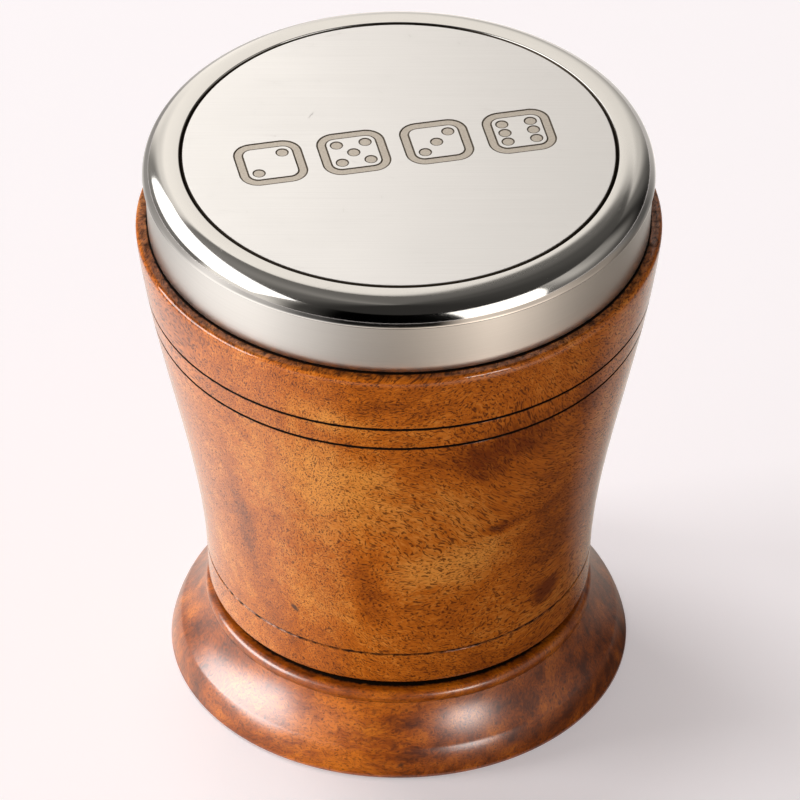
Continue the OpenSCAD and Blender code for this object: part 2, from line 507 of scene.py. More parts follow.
class TurnedTree:
    """Tree that turns an outline about the upright axis, with a nap for cloth."""

    NAP_DETAIL = 3.0

    def __init__(self) -> None:
        """Builds the tree once."""
        graph, given, result = start_group(
            "Turned outline", "GeometryNodeTree",
            [("Outline", "Geometry", None), ("Segments", "Int", 256), ("Sharp From", "Float", SMOOTH_UNDER),
             ("Nap", "Float", 0.0), ("Nap Scale", "Float", 900.0), ("Seed", "Float", 1.0),
             ("Finish", "Material", None)],
            [("Piece", "Geometry")])
        self.tree = graph.tree
        outline = given["Outline"]
        count = graph.get("GeometryNodeAttributeDomainSize", {"Geometry": outline}, output="Point Count")
        columns = graph.math("ADD", given["Segments"], 1)
        grid = graph.get("GeometryNodeMeshGrid", {"Vertices X": columns, "Vertices Y": count}, output="Mesh")
        index = graph.get("GeometryNodeInputIndex")
        row = graph.math("MODULO", index, count)
        column = graph.math("FLOOR", graph.math("DIVIDE", index, count))
        share = graph.math("DIVIDE", column, given["Segments"])
        angle = graph.math("MULTIPLY", share, math.tau)
        position = graph.get("GeometryNodeInputPosition")
        place = self.sample(graph, outline, "FLOAT_VECTOR", position, row)
        # Carries how dark each point is made, by burnt lines, oxide and painted shade, from the outline to
        # the turned mesh
        darkening = self.sample(graph, outline, "FLOAT", graph.named("marks_and_shade", "FLOAT"), row)
        parts = graph.add("ShaderNodeSeparateXYZ", {0: place}).outputs
        x = graph.math("MULTIPLY", parts[0], graph.math("COSINE", angle))
        y = graph.math("MULTIPLY", parts[0], graph.math("SINE", angle))
        turned = graph.get("ShaderNodeCombineXYZ", {0: x, 1: y, 2: parts[2]})
        shape = graph.get("GeometryNodeSetPosition", {"Geometry": grid, "Position": turned})
        marked = graph.get("GeometryNodeStoreNamedAttribute",
                           {"Geometry": shape, "Name": "marks_and_shade", "Value": darkening},
                           data_type="FLOAT", domain="POINT")
        welded = graph.get("GeometryNodeMergeByDistance", {"Geometry": marked, "Distance": WELD})
        fuzz = graph.get("ShaderNodeTexNoise", {"Vector": position, "W": given["Seed"],
                                                "Scale": given["Nap Scale"], "Detail": self.NAP_DETAIL},
                         noise_dimensions="4D")
        lift = graph.swing(fuzz, given["Nap"])
        offset = graph.vector("SCALE", graph.get("GeometryNodeInputNormal"), scale=lift)
        napped = graph.get("GeometryNodeSetPosition", {"Geometry": welded, "Offset": offset})
        smooth = graph.get("GeometryNodeSetShadeSmooth", {"Geometry": napped, "Shade Smooth": True},
                           domain="FACE")
        fold = graph.get("GeometryNodeInputMeshEdgeAngle", output="Unsigned Angle")
        sharp = graph.get("FunctionNodeCompare", {"A": fold, "B": given["Sharp From"]},
                          data_type="FLOAT", operation="GREATER_THAN")
        creased = graph.get("GeometryNodeSetShadeSmooth",
                            {"Geometry": smooth, "Selection": sharp, "Shade Smooth": False}, domain="EDGE")
        done = graph.dress(graph.realize(creased), given["Finish"])
        graph.feed(result, {"Piece": done})

    @staticmethod
    def sample(graph: Graph, source: Socket, kind: str, value: Socket, index: Socket) -> Socket:
        """Reads a value at one point of the outline.

        Args:
            graph: The graph that gets the node.
            source: The outline.
            kind: Data type of the value.
            value: The field to read.
            index: Place of the point.

        Returns:
            The value.
        """
        feeds = {"Geometry": source, "Value": value, "Index": index}
        return graph.get("GeometryNodeSampleIndex", feeds, data_type=kind, domain="POINT")

    def turn(self, name: str, outline: Outline, finish: bpy.types.Material, segments: int = 256,
             nap: float = 0.0, seed: float = 1.0) -> bpy.types.Object:
        """Turns an outline into a piece.

        Args:
            name: Name of the piece.
            outline: Its outline.
            finish: Its material.
            segments: Number of steps round.
            nap: Height of the nap, in millimetres.
            seed: Seed of the nap.

        Returns:
            The piece.
        """
        sizes = {"Segments": segments, "Nap": nap * MM, "Seed": seed, "Finish": finish}
        return grow(name, outline.mesh(f"{name}_outline"), self.tree, sizes)


class EngravingTree:
    """Tree that sets out the cutters of a row of engraved die faces.

    A cutter is REACH times as tall as it cuts deep. A face of it is a floor where its normal is
    upright by at least FLAT, and a wall elsewhere.
    """

    REACH = 1.25
    FLAT = 0.99
    CORNER_STEPS = 10
    PIP_SIDES = 32

    def __init__(self) -> None:
        """Builds the tree once."""
        graph, given, result = start_group(
            "Engraved die faces", "GeometryNodeTree",
            [("Places", "Geometry", None), ("Frame Width", "Float", 0.0097),
             ("Frame Rounding", "Float", 0.002), ("Stroke Top", "Float", 0.0015),
             ("Stroke Floor", "Float", 0.0009), ("Depth", "Float", 0.0003), ("Pip Top", "Float", 0.0011),
             ("Pip Floor", "Float", 0.0008), ("Height", "Float", 0.1),
             ("Centre", "Vector", (0.0, 0.0, 0.0)), ("Turn", "Float", 0.2),
             ("Floor Finish", "Material", None), ("Wall Finish", "Material", None)],
            [("Cutters", "Geometry")])
        self.tree = graph.tree
        ring, pip = self.frame_cutter(graph, given), self.pip_cutter(graph, given)
        framed = graph.named("framed", "BOOLEAN")
        bare = graph.get("FunctionNodeBooleanMath", {0: framed}, operation="NOT")
        joined = graph.add("GeometryNodeJoinGeometry")
        for cutter, chosen in ((ring, framed), (pip, bare)):
            graph.feed(joined, {0: graph.scatter(given["Places"], cutter, chosen)})
        place = graph.vector("ADD", given["Centre"], graph.along_z(given["Height"]))
        placed = graph.transform(joined.outputs[0], place, Rotation=graph.along_z(given["Turn"]))
        floor = graph.dress(graph.realize(placed), given["Floor Finish"])
        normal = graph.get("GeometryNodeInputNormal")
        flatness = graph.math("ABSOLUTE", graph.vector("DOT_PRODUCT", normal, tuple(UP)))
        steep = graph.get("FunctionNodeCompare", {"A": flatness, "B": self.FLAT}, data_type="FLOAT",
                          operation="LESS_THAN")
        graph.feed(result, {"Cutters": graph.dress(floor, given["Wall Finish"], steep)})

    def flare(self, graph: Graph, top: Socket, floor: Socket) -> Socket:
        """Widens a cut from its floor to the top of its cutter and returns the width there."""
        spread = graph.math("SUBTRACT", top, floor)
        return graph.math("ADD", floor, graph.math("MULTIPLY", spread, self.REACH))

    def frame_cutter(self, graph: Graph, given: Outputs) -> Socket:
        """Makes the cutter of one face's rounded frame.

        Args:
            graph: The graph that gets the nodes.
            given: The tree's inputs.

        Returns:
            The cutter, with its floor at the depth of the engraving.
        """
        width, depth = given["Frame Width"], given["Depth"]
        square = graph.get("GeometryNodeCurvePrimitiveQuadrilateral", {"Width": width, "Height": width})
        rounded = graph.get("GeometryNodeFilletCurve",
                            {"Curve": square, "Radius": given["Frame Rounding"],
                             "Count": self.CORNER_STEPS, "Limit Radius": True}, mode="POLY")
        upright = graph.get("GeometryNodeSetCurveNormal", {"Curve": rounded}, mode="Z_UP")
        # The section is swept upside down, so its bottom is the top of the cut
        section = graph.get("GeometryNodeCurvePrimitiveQuadrilateral", {
            "Height": graph.math("MULTIPLY", depth, self.REACH), "Offset": 0.0,
            "Bottom Width": self.flare(graph, given["Stroke Top"], given["Stroke Floor"]),
            "Top Width": given["Stroke Floor"]}, mode="TRAPEZOID")
        swept = graph.get("GeometryNodeCurveToMesh", {"Curve": upright, "Profile Curve": section})
        return graph.transform(swept, graph.along_z(graph.math("MULTIPLY", depth, self.REACH / 2 - 1)))

    def pip_cutter(self, graph: Graph, given: Outputs) -> Socket:
        """Makes the cutter of one pip.

        Args:
            graph: The graph that gets the nodes.
            given: The tree's inputs.

        Returns:
            The cutter, with its floor at the depth of the engraving.
        """
        cone = graph.get("GeometryNodeMeshCone", {
            "Vertices": self.PIP_SIDES, "Radius Bottom": given["Pip Floor"],
            "Radius Top": self.flare(graph, given["Pip Top"], given["Pip Floor"]),
            "Depth": graph.math("MULTIPLY", given["Depth"], self.REACH)}, output="Mesh")
        return graph.transform(cone, graph.along_z(graph.math("MULTIPLY", given["Depth"], -1.0)))


class DieTree:
    """Tree that makes a die: a cube with ball-rounded corners and round pips."""

    PIP_SEGMENTS = 24
    PIP_RINGS = 12

    def __init__(self) -> None:
        """Builds the tree once."""
        graph, given, result = start_group(
            "Die", "GeometryNodeTree",
            [("Pips", "Geometry", None), ("Width", "Float", 0.014), ("Ball", "Float", 0.0105),
             ("Edge Softness", "Float", 0.0004), ("Steps", "Int", 33), ("Pip Radius", "Float", 0.0012),
             ("Pip Depth", "Float", 0.0006), ("Body Finish", "Material", None),
             ("Pip Finish", "Material", None)],
            [("Die", "Geometry")])
        self.tree = graph.tree
        width, steps = given["Width"], given["Steps"]
        size = graph.get("ShaderNodeCombineXYZ", {0: width, 1: width, 2: width})
        cube = graph.get("GeometryNodeMeshCube", {"Size": size, "Vertices X": steps, "Vertices Y": steps,
                                                  "Vertices Z": steps}, output="Mesh")
        position = graph.get("GeometryNodeInputPosition")
        away = graph.vector("LENGTH", position)
        inside = graph.math("SMOOTH_MIN", away, given["Ball"], given["Edge Softness"])
        pulled = graph.vector("SCALE", position, scale=graph.math("DIVIDE", inside, away))
        body = graph.get("GeometryNodeSetPosition", {"Geometry": cube, "Position": pulled})
        smooth = graph.get("GeometryNodeSetShadeSmooth", {"Geometry": body, "Shade Smooth": True})
        dressed = graph.dress(smooth, given["Body Finish"])
        ball = graph.get("GeometryNodeMeshUVSphere",
                         {"Segments": self.PIP_SEGMENTS, "Rings": self.PIP_RINGS,
                          "Radius": given["Pip Radius"]}, output="Mesh")
        inked = graph.dress(ball, given["Pip Finish"])
        proud = graph.math("SUBTRACT", given["Pip Radius"], given["Pip Depth"])
        offset = graph.vector("SCALE", graph.named("out", "FLOAT_VECTOR"), scale=proud)
        shifted = graph.get("GeometryNodeSetPosition", {"Geometry": given["Pips"], "Offset": offset})
        cutters = graph.realize(graph.scatter(shifted, inked))
        pitted = graph.get("GeometryNodeMeshBoolean", {"Mesh 1": dressed, "Mesh 2": cutters},
                           operation="DIFFERENCE", solver="EXACT")
        black = graph.get("GeometryNodeMaterialSelection", {"Material": given["Pip Finish"]})
        plain = graph.get("FunctionNodeBooleanMath", {0: black}, operation="NOT")
        done = graph.dress(graph.realize(pitted), given["Body Finish"], plain)
        graph.feed(result, {"Die": done})


# Shader groups


class ShaderGroups:
    """Effects that more than one material uses, each built once. They read places in millimetres.

    A STRETCH holds the factors of a noise's three axes. An EDGE holds the values at which a mask is 0
    and 1.
    """

    SWIRL_REACH = 4.0
    SHIVER_SCALE = 0.45
    FIGURE_STRETCH = (0.35, 1.0, 1.0)
    MOTTLE_STRETCH = (0.14, 0.34, 0.34)
    FIBRE_STRETCH = (0.4, 3.0, 3.0)
    FLECK_EDGE = (0.53, 0.62)
    PORE_SPACING = (1.5, 1.9, 1.9)
    PORE_CHANCE_EDGE = (0.25, 1.0)
    PORE_SIZE = 0.42
    PORE_CORE = 0.4
    SPOT_RIPPLE = 0.7
    MARK_SHADE_RIPPLE = 0.9
    MARK_SHADE_EDGE = (0.2, 0.75)
    MARK_SHADE_START_EDGE = (0.0, 0.15)
    CLOUD_SCALE = 0.07
    SCRATCH_STRETCH = (0.09, 0.5, 0.2)
    SCRATCH_EDGE = (0.006, 0.0)
    RARE_STRETCH = (0.16, 0.55, 0.3)
    RARE_EDGE = (0.56, 0.7)

    def __init__(self) -> None:
        """Builds every group."""
        self.grain = self.wood_grain()
        self.spot = self.soft_spot()
        self.marks_and_shade = self.marked_and_shaded()
        self.brush = self.brushed()
        self.mottle = self.mottled()

    def wood_grain(self) -> bpy.types.NodeTree:
        """Makes swirling fibre, soft figure, mottle and short dark pores, with the grain along X.

        Returns:
            The group.
        """
        graph, given, result = start_group(
            "Wood grain", "ShaderNodeTree",
            [("Vector", "Vector", None), ("Swirl", "Float", 9.0), ("Swirl Scale", "Float", 0.02),
             ("Shiver", "Float", 1.6), ("Fleck Length", "Float", 1.0), ("Fleck Width", "Float", 0.31),
             ("Figure Scale", "Float", 0.05)],
            [("Figure", "Float"), ("Mottle", "Float"), ("Fibre", "Float"), ("Flecks", "Float"),
             ("Pores", "Float")])
        drift = graph.drift(given["Vector"], given["Swirl Scale"])
        reach = graph.math("MULTIPLY", given["Swirl"], self.SWIRL_REACH)
        bent = graph.vector("ADD", given["Vector"], graph.vector("SCALE", drift, scale=reach))
        shiver = graph.drift(bent, self.SHIVER_SCALE)
        swirled = graph.vector("ADD", bent, graph.vector("SCALE", shiver, scale=given["Shiver"]))
        length, width = given["Fleck Length"], given["Fleck Width"]
        cell = graph.get("ShaderNodeCombineXYZ", {0: length, 1: width, 2: width})
        dashes = graph.noise(graph.vector("DIVIDE", swirled, cell), scale=1.0)
        wide = graph.vector("MULTIPLY", cell, self.PORE_SPACING)
        cells = graph.cells(graph.vector("DIVIDE", swirled, wide), "F1")
        chance = graph.get("ShaderNodeSeparateColor", {0: cells["Color"]})
        size = graph.math("MULTIPLY", graph.span(chance, *self.PORE_CHANCE_EDGE), self.PORE_SIZE)
        core = graph.math("MULTIPLY", size, self.PORE_CORE)
        graph.feed(result, {
            "Figure": graph.noise(swirled, given["Figure Scale"], roughness=0.45,
                                  stretch=self.FIGURE_STRETCH),
            "Mottle": graph.noise(swirled, scale=1.0, detail=3.0, roughness=0.55,
                                  stretch=self.MOTTLE_STRETCH),
            "Fibre": graph.noise(swirled, scale=1.0, detail=3.0, roughness=0.6,
                                 stretch=self.FIBRE_STRETCH),
            "Flecks": graph.span(dashes, *self.FLECK_EDGE),
            "Pores": graph.span(cells["Distance"], low=size, high=core)})
        return graph.tree

    def soft_spot(self) -> bpy.types.NodeTree:
        """Makes a soft oval spot at a place, for knots and for lighter and darker places on the wood.

        Returns:
            The group.
        """
        graph, given, result = start_group(
            "Soft spot", "ShaderNodeTree",
            [("Vector", "Vector", None), ("Centre", "Vector", (0.0, 0.0, 0.0)),
             ("Along", "Vector", (1.0, 0.0, 0.0)), ("Half Length", "Float", 1.0),
             ("Half Width", "Float", 0.5), ("Inner", "Float", 0.4), ("Ragged", "Float", 0.3)],
            [("Mask", "Float")])
        off = graph.vector("SUBTRACT", given["Vector"], given["Centre"])
        along = graph.vector("DOT_PRODUCT", off, given["Along"])
        beside = graph.vector("SUBTRACT", off, graph.vector("SCALE", given["Along"], scale=along))
        a = graph.math("DIVIDE", along, given["Half Length"])
        b = graph.math("DIVIDE", graph.vector("LENGTH", beside), given["Half Width"])
        squares = graph.math("ADD", graph.math("MULTIPLY", a, a), graph.math("MULTIPLY", b, b))
        scale = graph.math("DIVIDE", self.SPOT_RIPPLE, given["Half Width"])
        ripple = graph.noise(given["Vector"], scale, detail=3.0)
        torn = graph.math("ADD", graph.math("SQRT", squares), graph.swing(ripple, given["Ragged"]))
        graph.feed(result, {"Mask": graph.span(torn, low=1.0, high=given["Inner"])})
        return graph.tree

    def marked_and_shaded(self) -> bpy.types.NodeTree:
        """Makes the mask of burnt lines, oxide and painted shade where the outline says so, with ragged
        edges.

        Returns:
            The group.
        """
        graph, given, result = start_group(
            "Marks and shade", "ShaderNodeTree", [("Vector", "Vector", None), ("Ragged", "Float", 0.9)],
            [("Mask", "Float")])
        mark = graph.get("ShaderNodeAttribute", attribute_name="marks_and_shade", output="Fac")
        ripple = graph.noise(given["Vector"], self.MARK_SHADE_RIPPLE, detail=3.0)
        bound = graph.math("ADD", mark, graph.swing(ripple, given["Ragged"]))
        torn, marked = graph.span(bound, *self.MARK_SHADE_EDGE), graph.span(mark, *self.MARK_SHADE_START_EDGE)
        graph.feed(result, {"Mask": graph.math("MULTIPLY", torn, marked)})
        return graph.tree

    def brushed(self) -> bpy.types.NodeTree:
        """Makes the fine lines or grain of a metal face, with a soft cloudiness and rare scratches.

        Returns:
            The group.
        """
        graph, given, result = start_group(
            "Brushed", "ShaderNodeTree", [("Vector", "Vector", None), ("Lines", "Vector", (0.04, 4.0, 4.0))],
            [("Lines", "Float"), ("Cloud", "Float"), ("Scratch", "Float")])
        place = given["Vector"]
        rare = graph.noise(place, scale=1.0, detail=1.0, stretch=self.RARE_STRETCH)
        stretched = graph.vector("MULTIPLY", place, self.SCRATCH_STRETCH)
        away = graph.cells(stretched, "DISTANCE_TO_EDGE")[0]
        thin, chosen = graph.span(away, *self.SCRATCH_EDGE), graph.span(rare, *self.RARE_EDGE)
        graph.feed(result, {
            "Lines": graph.noise(place, scale=1.0, detail=4.0, roughness=0.65, stretch=given["Lines"]),
            "Cloud": graph.noise(place, self.CLOUD_SCALE),
            "Scratch": graph.math("MULTIPLY", thin, chosen)})
        return graph.tree

    def mottled(self) -> bpy.types.NodeTree:
        """Makes coarse and fine mottling for cloth and bone.

        Returns:
            The group.
        """
        graph, given, result = start_group(
            "Mottle", "ShaderNodeTree",
            [("Vector", "Vector", None), ("Coarse", "Float", 0.25), ("Fine", "Float", 3.0)],
            [("Coarse", "Float"), ("Fine", "Float")])
        for label, detail in (("Coarse", 2.0), ("Fine", 4.0)):
            graph.feed(result, {label: graph.noise(given["Vector"], given[label], detail, roughness=0.6)})
        return graph.tree


# Finishes


def start_material(name: str) -> tuple[bpy.types.Material, Graph, bpy.types.Node]:
    """Makes an empty material with a Principled shader on its output.

    Args:
        name: The material's name.

    Returns:
        The material, its graph and the shader node.
    """
    material = bpy.data.materials.new(name)
    graph = Graph.blank(material)
    shader = graph.add("ShaderNodeBsdfPrincipled")
    graph.add("ShaderNodeOutputMaterial", {"Surface": shader.outputs[0]})
    return material, graph, shader


def millimetres(graph: Graph, turn: Sequence[float] = (0.0, 0.0, 0.0)) -> Socket:
    """Adds object coordinates in millimetres.

    Args:
        graph: The material's graph.
        turn: Euler angles that they are turned by.

    Returns:
        The coordinates.
    """
    place = graph.get("ShaderNodeTexCoord", output="Object")
    feeds = {"Vector": place, "Rotation": tuple(turn), "Scale": (1 / MM, 1 / MM, 1 / MM)}
    return graph.get("ShaderNodeMapping", feeds)


def set_bump(graph: Graph, shader: bpy.types.Node, height: Socket, depth: float) -> None:
    """Feeds a height into the shader's normal.

    Args:
        graph: The material's graph.
        shader: The shader.
        height: Height from 0 to 1.
        depth: What a height of 1 is, in millimetres.
    """
    bump = graph.get("ShaderNodeBump", {"Height": height, "Distance": depth * MM, "Strength": 1.0})
    graph.feed(shader, {"Normal": bump})


def duller_in_marks_and_shade(graph: Graph, roughness: Socket, darkening: Socket) -> Socket:
    """Makes a surface duller at its burnt lines, its oxide and its painted shade, and returns its roughness.
    """
    return graph.math("ADD", roughness, graph.math("MULTIPLY", darkening, MARK_AND_SHADE_ROUGHNESS))


@dataclass(frozen=True)
class Spot:
    """An oval mark in the wood: its centre, the way it runs, and its half length and width.

    It is whole within the share inner of its reach, its edge wavers by ragged, and strength is how
    much of it shows.
    """

    centre: Point
    along: Point
    half_length: float
    half_width: float
    inner: float = 0.35
    ragged: float = 0.5
    strength: float = 0.85


@dataclass(frozen=True)
class Patch(Spot):
    """A lighter or darker place on the wood, which fades all the way from its middle."""

    inner: float = 0.0


@dataclass(frozen=True)
class WoodFinish:
    """Lacquered hardwood, with knots and with pale and deep places.

    The grain is the way that the fibres run. A share is how far a part of the figure swings the tone.
    """

    name: str
    light: Colour
    middle: Colour
    dark: Colour
    pore: Colour
    grain: Point
    swirl: float = 9.0
    fleck_length: float = 1.0
    fleck_width: float = 0.29
    fleck_strength: float = 0.8
    pore_strength: float = 0.75
    figure_scale: float = 0.045
    figure_share: float = 0.55
    mottle_share: float = 0.35
    fibre_share: float = 0.55
    specular: float = 0.3
    roughness: float = 0.36
    coat: float = 0.5
    coat_roughness: float = 0.14
    coat_ior: float = 1.5
    fleck_roughness: float = 0.15
    fleck_depth: float = 0.4
    fibre_height: float = 0.5
    relief: float = 0.022
    knots: tuple[Spot, ...] = ()
    pale: tuple[Patch, ...] = ()
    deep: tuple[Patch, ...] = ()

    def make(self, groups: ShaderGroups) -> bpy.types.Material:
        """Builds the material.

        Args:
            groups: The shared shader groups.

        Returns:
            The material.
        """
        material, graph, shader = start_material(self.name)
        plain = millimetres(graph)
        turn = Vector(self.grain).rotation_difference(RIGHT).to_euler()
        wood = graph.group(groups.grain, {
            "Vector": millimetres(graph, turn), "Swirl": self.swirl, "Fleck Length": self.fleck_length,
            "Fleck Width": self.fleck_width, "Figure Scale": self.figure_scale})
        tone: Socket | float = HALF
        for label, share in (("Figure", self.figure_share), ("Mottle", self.mottle_share),
                             ("Fibre", self.fibre_share)):
            tone = graph.math("ADD", graph.swing(wood[label], 2 * share), tone)
        # Pale places lighten the tone and deep places darken it; one deep place on the foot is painted shade
        for spots, sign in ((self.pale, 1.0), (self.deep, -1.0)):
            for spot in spots:
                tone = graph.math("ADD", tone, self.mark(graph, groups, plain, spot, sign))
        low = graph.blend(graph.math("MULTIPLY", tone, 2.0, clamp=True), self.dark, self.middle)
        high = graph.math("SUBTRACT", graph.math("MULTIPLY", tone, 2.0), 1.0, clamp=True)
        colour = graph.blend(high, low, self.light)
        flecks, pores = wood["Flecks"], wood["Pores"]
        open_grain = graph.math("MAXIMUM", graph.math("MULTIPLY", flecks, self.fleck_strength),
                                graph.math("MULTIPLY", pores, self.pore_strength))
        colour = graph.blend(open_grain, colour, self.pore)
        for spot in self.knots:
            colour = graph.blend(self.mark(graph, groups, plain, spot), colour, KNOT)
        # Burnt scribed lines, and painted shade in the gaps, creases and on the shoulder under the band,
        # darken the wood here
        darkening = graph.group(groups.marks_and_shade, {"Vector": plain})["Mask"]
        rough = graph.math("ADD", self.roughness, graph.math("MULTIPLY", flecks, self.fleck_roughness))
        graph.feed(shader, {
            "Base Color": graph.blend(darkening, colour, WOOD_BURN_AND_SHADE), "Roughness": duller_in_marks_and_shade(graph, rough, darkening),
            "Coat Weight": graph.math("MULTIPLY", graph.math("SUBTRACT", 1.0, darkening), self.coat),
            "Coat Roughness": self.coat_roughness, "Coat IOR": self.coat_ior,
            "Specular IOR Level": self.specular})
        dips = graph.math("MAXIMUM", graph.math("MULTIPLY", flecks, self.fleck_depth), pores)
        height = graph.math("SUBTRACT", graph.math("MULTIPLY", wood["Fibre"], self.fibre_height), dips)
        set_bump(graph, shader, height, self.relief)
        return material

    @staticmethod
    def mark(graph: Graph, groups: ShaderGroups, vector: Socket, spot: Spot, sign: float = 1.0) -> Socket:
        """Adds one spot.

        Args:
            graph: The material's graph.
            groups: The shared shader groups.
            vector: Where the spot is read.
            spot: The spot.
            sign: 1 for a spot that adds, -1 for one that takes away.

        Returns:
            Its mask, scaled by its strength and sign.
        """
        mask = graph.group(groups.spot, {
            "Vector": vector, "Centre": spot.centre, "Along": tuple(Vector(spot.along).normalized()),
            "Half Length": spot.half_length, "Half Width": spot.half_width, "Inner": spot.inner,
            "Ragged": spot.ragged})["Mask"]
        return graph.math("MULTIPLY", mask, sign * spot.strength)


@dataclass(frozen=True)
class MetalFinish:
    """Nickel-silver coloured metal, brushed, buffed or etched, with its depth in millimetres."""

    name: str
    colour: Colour
    roughness: float
    brushing: Brushing
    depth: float
    cloudiness: float = 0.06
    streaks: float = 0.1
    metallic: float = 1.0
    scratches: float = 0.0
    cloud_roughness: float = 0.08

    def make(self, groups: ShaderGroups) -> bpy.types.Material:
        """Builds the material.

        Args:
            groups: The shared shader groups.

        Returns:
            The material.
        """
        material, graph, shader = start_material(self.name)
        place = millimetres(graph)
        face = graph.group(groups.brush, {"Vector": place, "Lines": self.brushing.value})
        shade = graph.math("ADD", graph.swing(face["Lines"], self.streaks),
                           graph.swing(face["Cloud"], self.cloudiness))
        # Oxide in the groove, and painted shade in the groove and in the crease under the cap, darken the
        # metal here
        darkening = graph.group(groups.marks_and_shade, {"Vector": place, "Ragged": 0.0})["Mask"]
        tones = {i: graph.math("ADD", part, shade) for i, part in enumerate(self.colour)}
        colour = graph.get("ShaderNodeCombineColor", tones)
        scratch = graph.math("MULTIPLY", face["Scratch"], self.scratches)
        rough = graph.math("ADD", self.roughness, graph.swing(face["Cloud"], self.cloud_roughness))
        rough = graph.math("ADD", rough, scratch)
        graph.feed(shader, {"Base Color": graph.blend(darkening, colour, METAL_OXIDE_AND_SHADE),
                            "Roughness": duller_in_marks_and_shade(graph, rough, darkening), "Metallic": self.metallic})
        set_bump(graph, shader, graph.math("SUBTRACT", face["Lines"], scratch), self.depth)
        return material


@dataclass(frozen=True)
class ClothFinish:
    """Felt or baize."""

    name: str
    colour: Colour
    pale: Colour
    fine: float = 2.2
    coarse: float = 0.16
    fine_share: float = 0.7
    pale_from: float = 0.35
    pale_to: float = 0.68
    roughness: float = 0.95
    sheen: float = 0.35
    relief: float = 0.25

    def make(self, groups: ShaderGroups) -> bpy.types.Material:
        """Builds the material.

        Args:
            groups: The shared shader groups.

        Returns:
            The material.
        """
        material, graph, shader = start_material(self.name)
        scales = {"Vector": millimetres(graph), "Coarse": self.coarse, "Fine": self.fine}
        cloth = graph.group(groups.mottle, scales)
        wool = graph.math("ADD", graph.math("MULTIPLY", cloth["Fine"], self.fine_share),
                          graph.math("MULTIPLY", cloth["Coarse"], 1.0 - self.fine_share))
        colour = graph.blend(graph.span(wool, self.pale_from, self.pale_to), self.colour, self.pale)
        graph.feed(shader, {"Base Color": colour, "Roughness": self.roughness, "Sheen Weight": self.sheen})
        set_bump(graph, shader, cloth["Fine"], self.relief)
        return material


@dataclass(frozen=True)
class DieFinish:
    """Bone-coloured body of a die, or the ink in its pips."""

    name: str
    colour: Colour
    stain: Colour
    roughness: float
    coat: float = 0.3
    coat_roughness: float = 0.2
    coarse: float = 0.2
    fine: float = 2.4
    stain_from: float = 0.4
    stain_to: float = 0.75
    wear: float = 0.1
    relief: float = 0.01

    def make(self, groups: ShaderGroups) -> bpy.types.Material:
        """Builds the material.

        Args:
            groups: The shared shader groups.

        Returns:
            The material.
        """
        material, graph, shader = start_material(self.name)
        scales = {"Vector": millimetres(graph), "Coarse": self.coarse, "Fine": self.fine}
        marks = graph.group(groups.mottle, scales)
        stain = graph.span(marks["Coarse"], self.stain_from, self.stain_to)
        worn = graph.math("MULTIPLY", marks["Fine"], self.wear)
        graph.feed(shader, {"Base Color": graph.blend(stain, self.colour, self.stain),
                            "Roughness": graph.math("ADD", self.roughness, worn),
                            "Coat Weight": self.coat, "Coat Roughness": self.coat_roughness})
        set_bump(graph, shader, marks["Fine"], self.relief)
        return material


CUP_WOOD = WoodFinish(
    "cup_wood", light=(0.65, 0.245, 0.04), middle=(0.44, 0.108, 0.006), dark=(0.16, 0.03, 0.002),
    pore=(0.065, 0.013, 0.0015), grain=(-0.53, -0.76, 0.37), coat=0.9, coat_roughness=0.06, specular=0.08,
    knots=(Spot((-17.0, -27.5, 28.0), (0.72, 0.0, -0.62), 1.5, 0.75),
           Spot((15.5, -32.5, 48.4), (0.85, 0.4, -0.35), 1.8, 0.8, inner=0.1),
           Spot((19.0, -30.8, 48.6), (0.9, 0.4, 0.1), 1.5, 0.7, inner=0.0, strength=0.6)),
    pale=(Patch((9.0, -32.0, 41.0), (0.95, 0.15, 0.1), 16.0, 7.5, strength=0.5),
          Patch((-12.0, -35.0, 64.0), (0.85, -0.1, -0.35), 18.0, 12.0, strength=0.55),
          Patch((-18.0, -28.0, 37.0), (0.3, -0.1, -0.9), 14.0, 6.0, strength=0.2),
          Patch((-11.0, -39.5, 76.5), (0.97, -0.2, 0.0), 13.0, 5.5, strength=0.4)),
    deep=(Patch((3.7, -34.0, 55.5), (0.88, 0.0, 0.46), 10.0, 2.6, strength=0.3),
          Patch((-5.0, -32.5, 37.0), (0.1, 0.0, -1.0), 14.0, 5.0, strength=0.35),
          Patch((-25.7, -24.0, 48.0), (0.12, 0.08, -0.99), 27.0, 3.2, strength=0.3),
          Patch((15.0, -36.0, 68.0), (0.92, 0.38, 0.1), 24.0, 9.0, strength=0.45),
          Patch((2.0, -40.0, 80.0), (1.0, 0.0, 0.1), 15.0, 5.0, strength=0.3),
          Patch((31.0, -26.0, 71.0), (0.0, 0.1, 1.0), 13.0, 7.0, strength=0.35),
          Patch((23.0, -25.7, 49.0), (0.9, 0.4, 0.15), 7.0, 2.0, strength=0.35),
          Patch((16.0, -31.0, 48.4), (0.95, 0.3, 0.0), 7.0, 2.6, strength=0.6),
          Patch((24.0, -21.5, 27.0), (0.9, 0.4, 0.1), 6.0, 4.0, strength=0.8),
          Patch((27.0, -26.0, 44.0), (0.6, 0.7, 0.1), 9.0, 24.0, strength=0.2)))

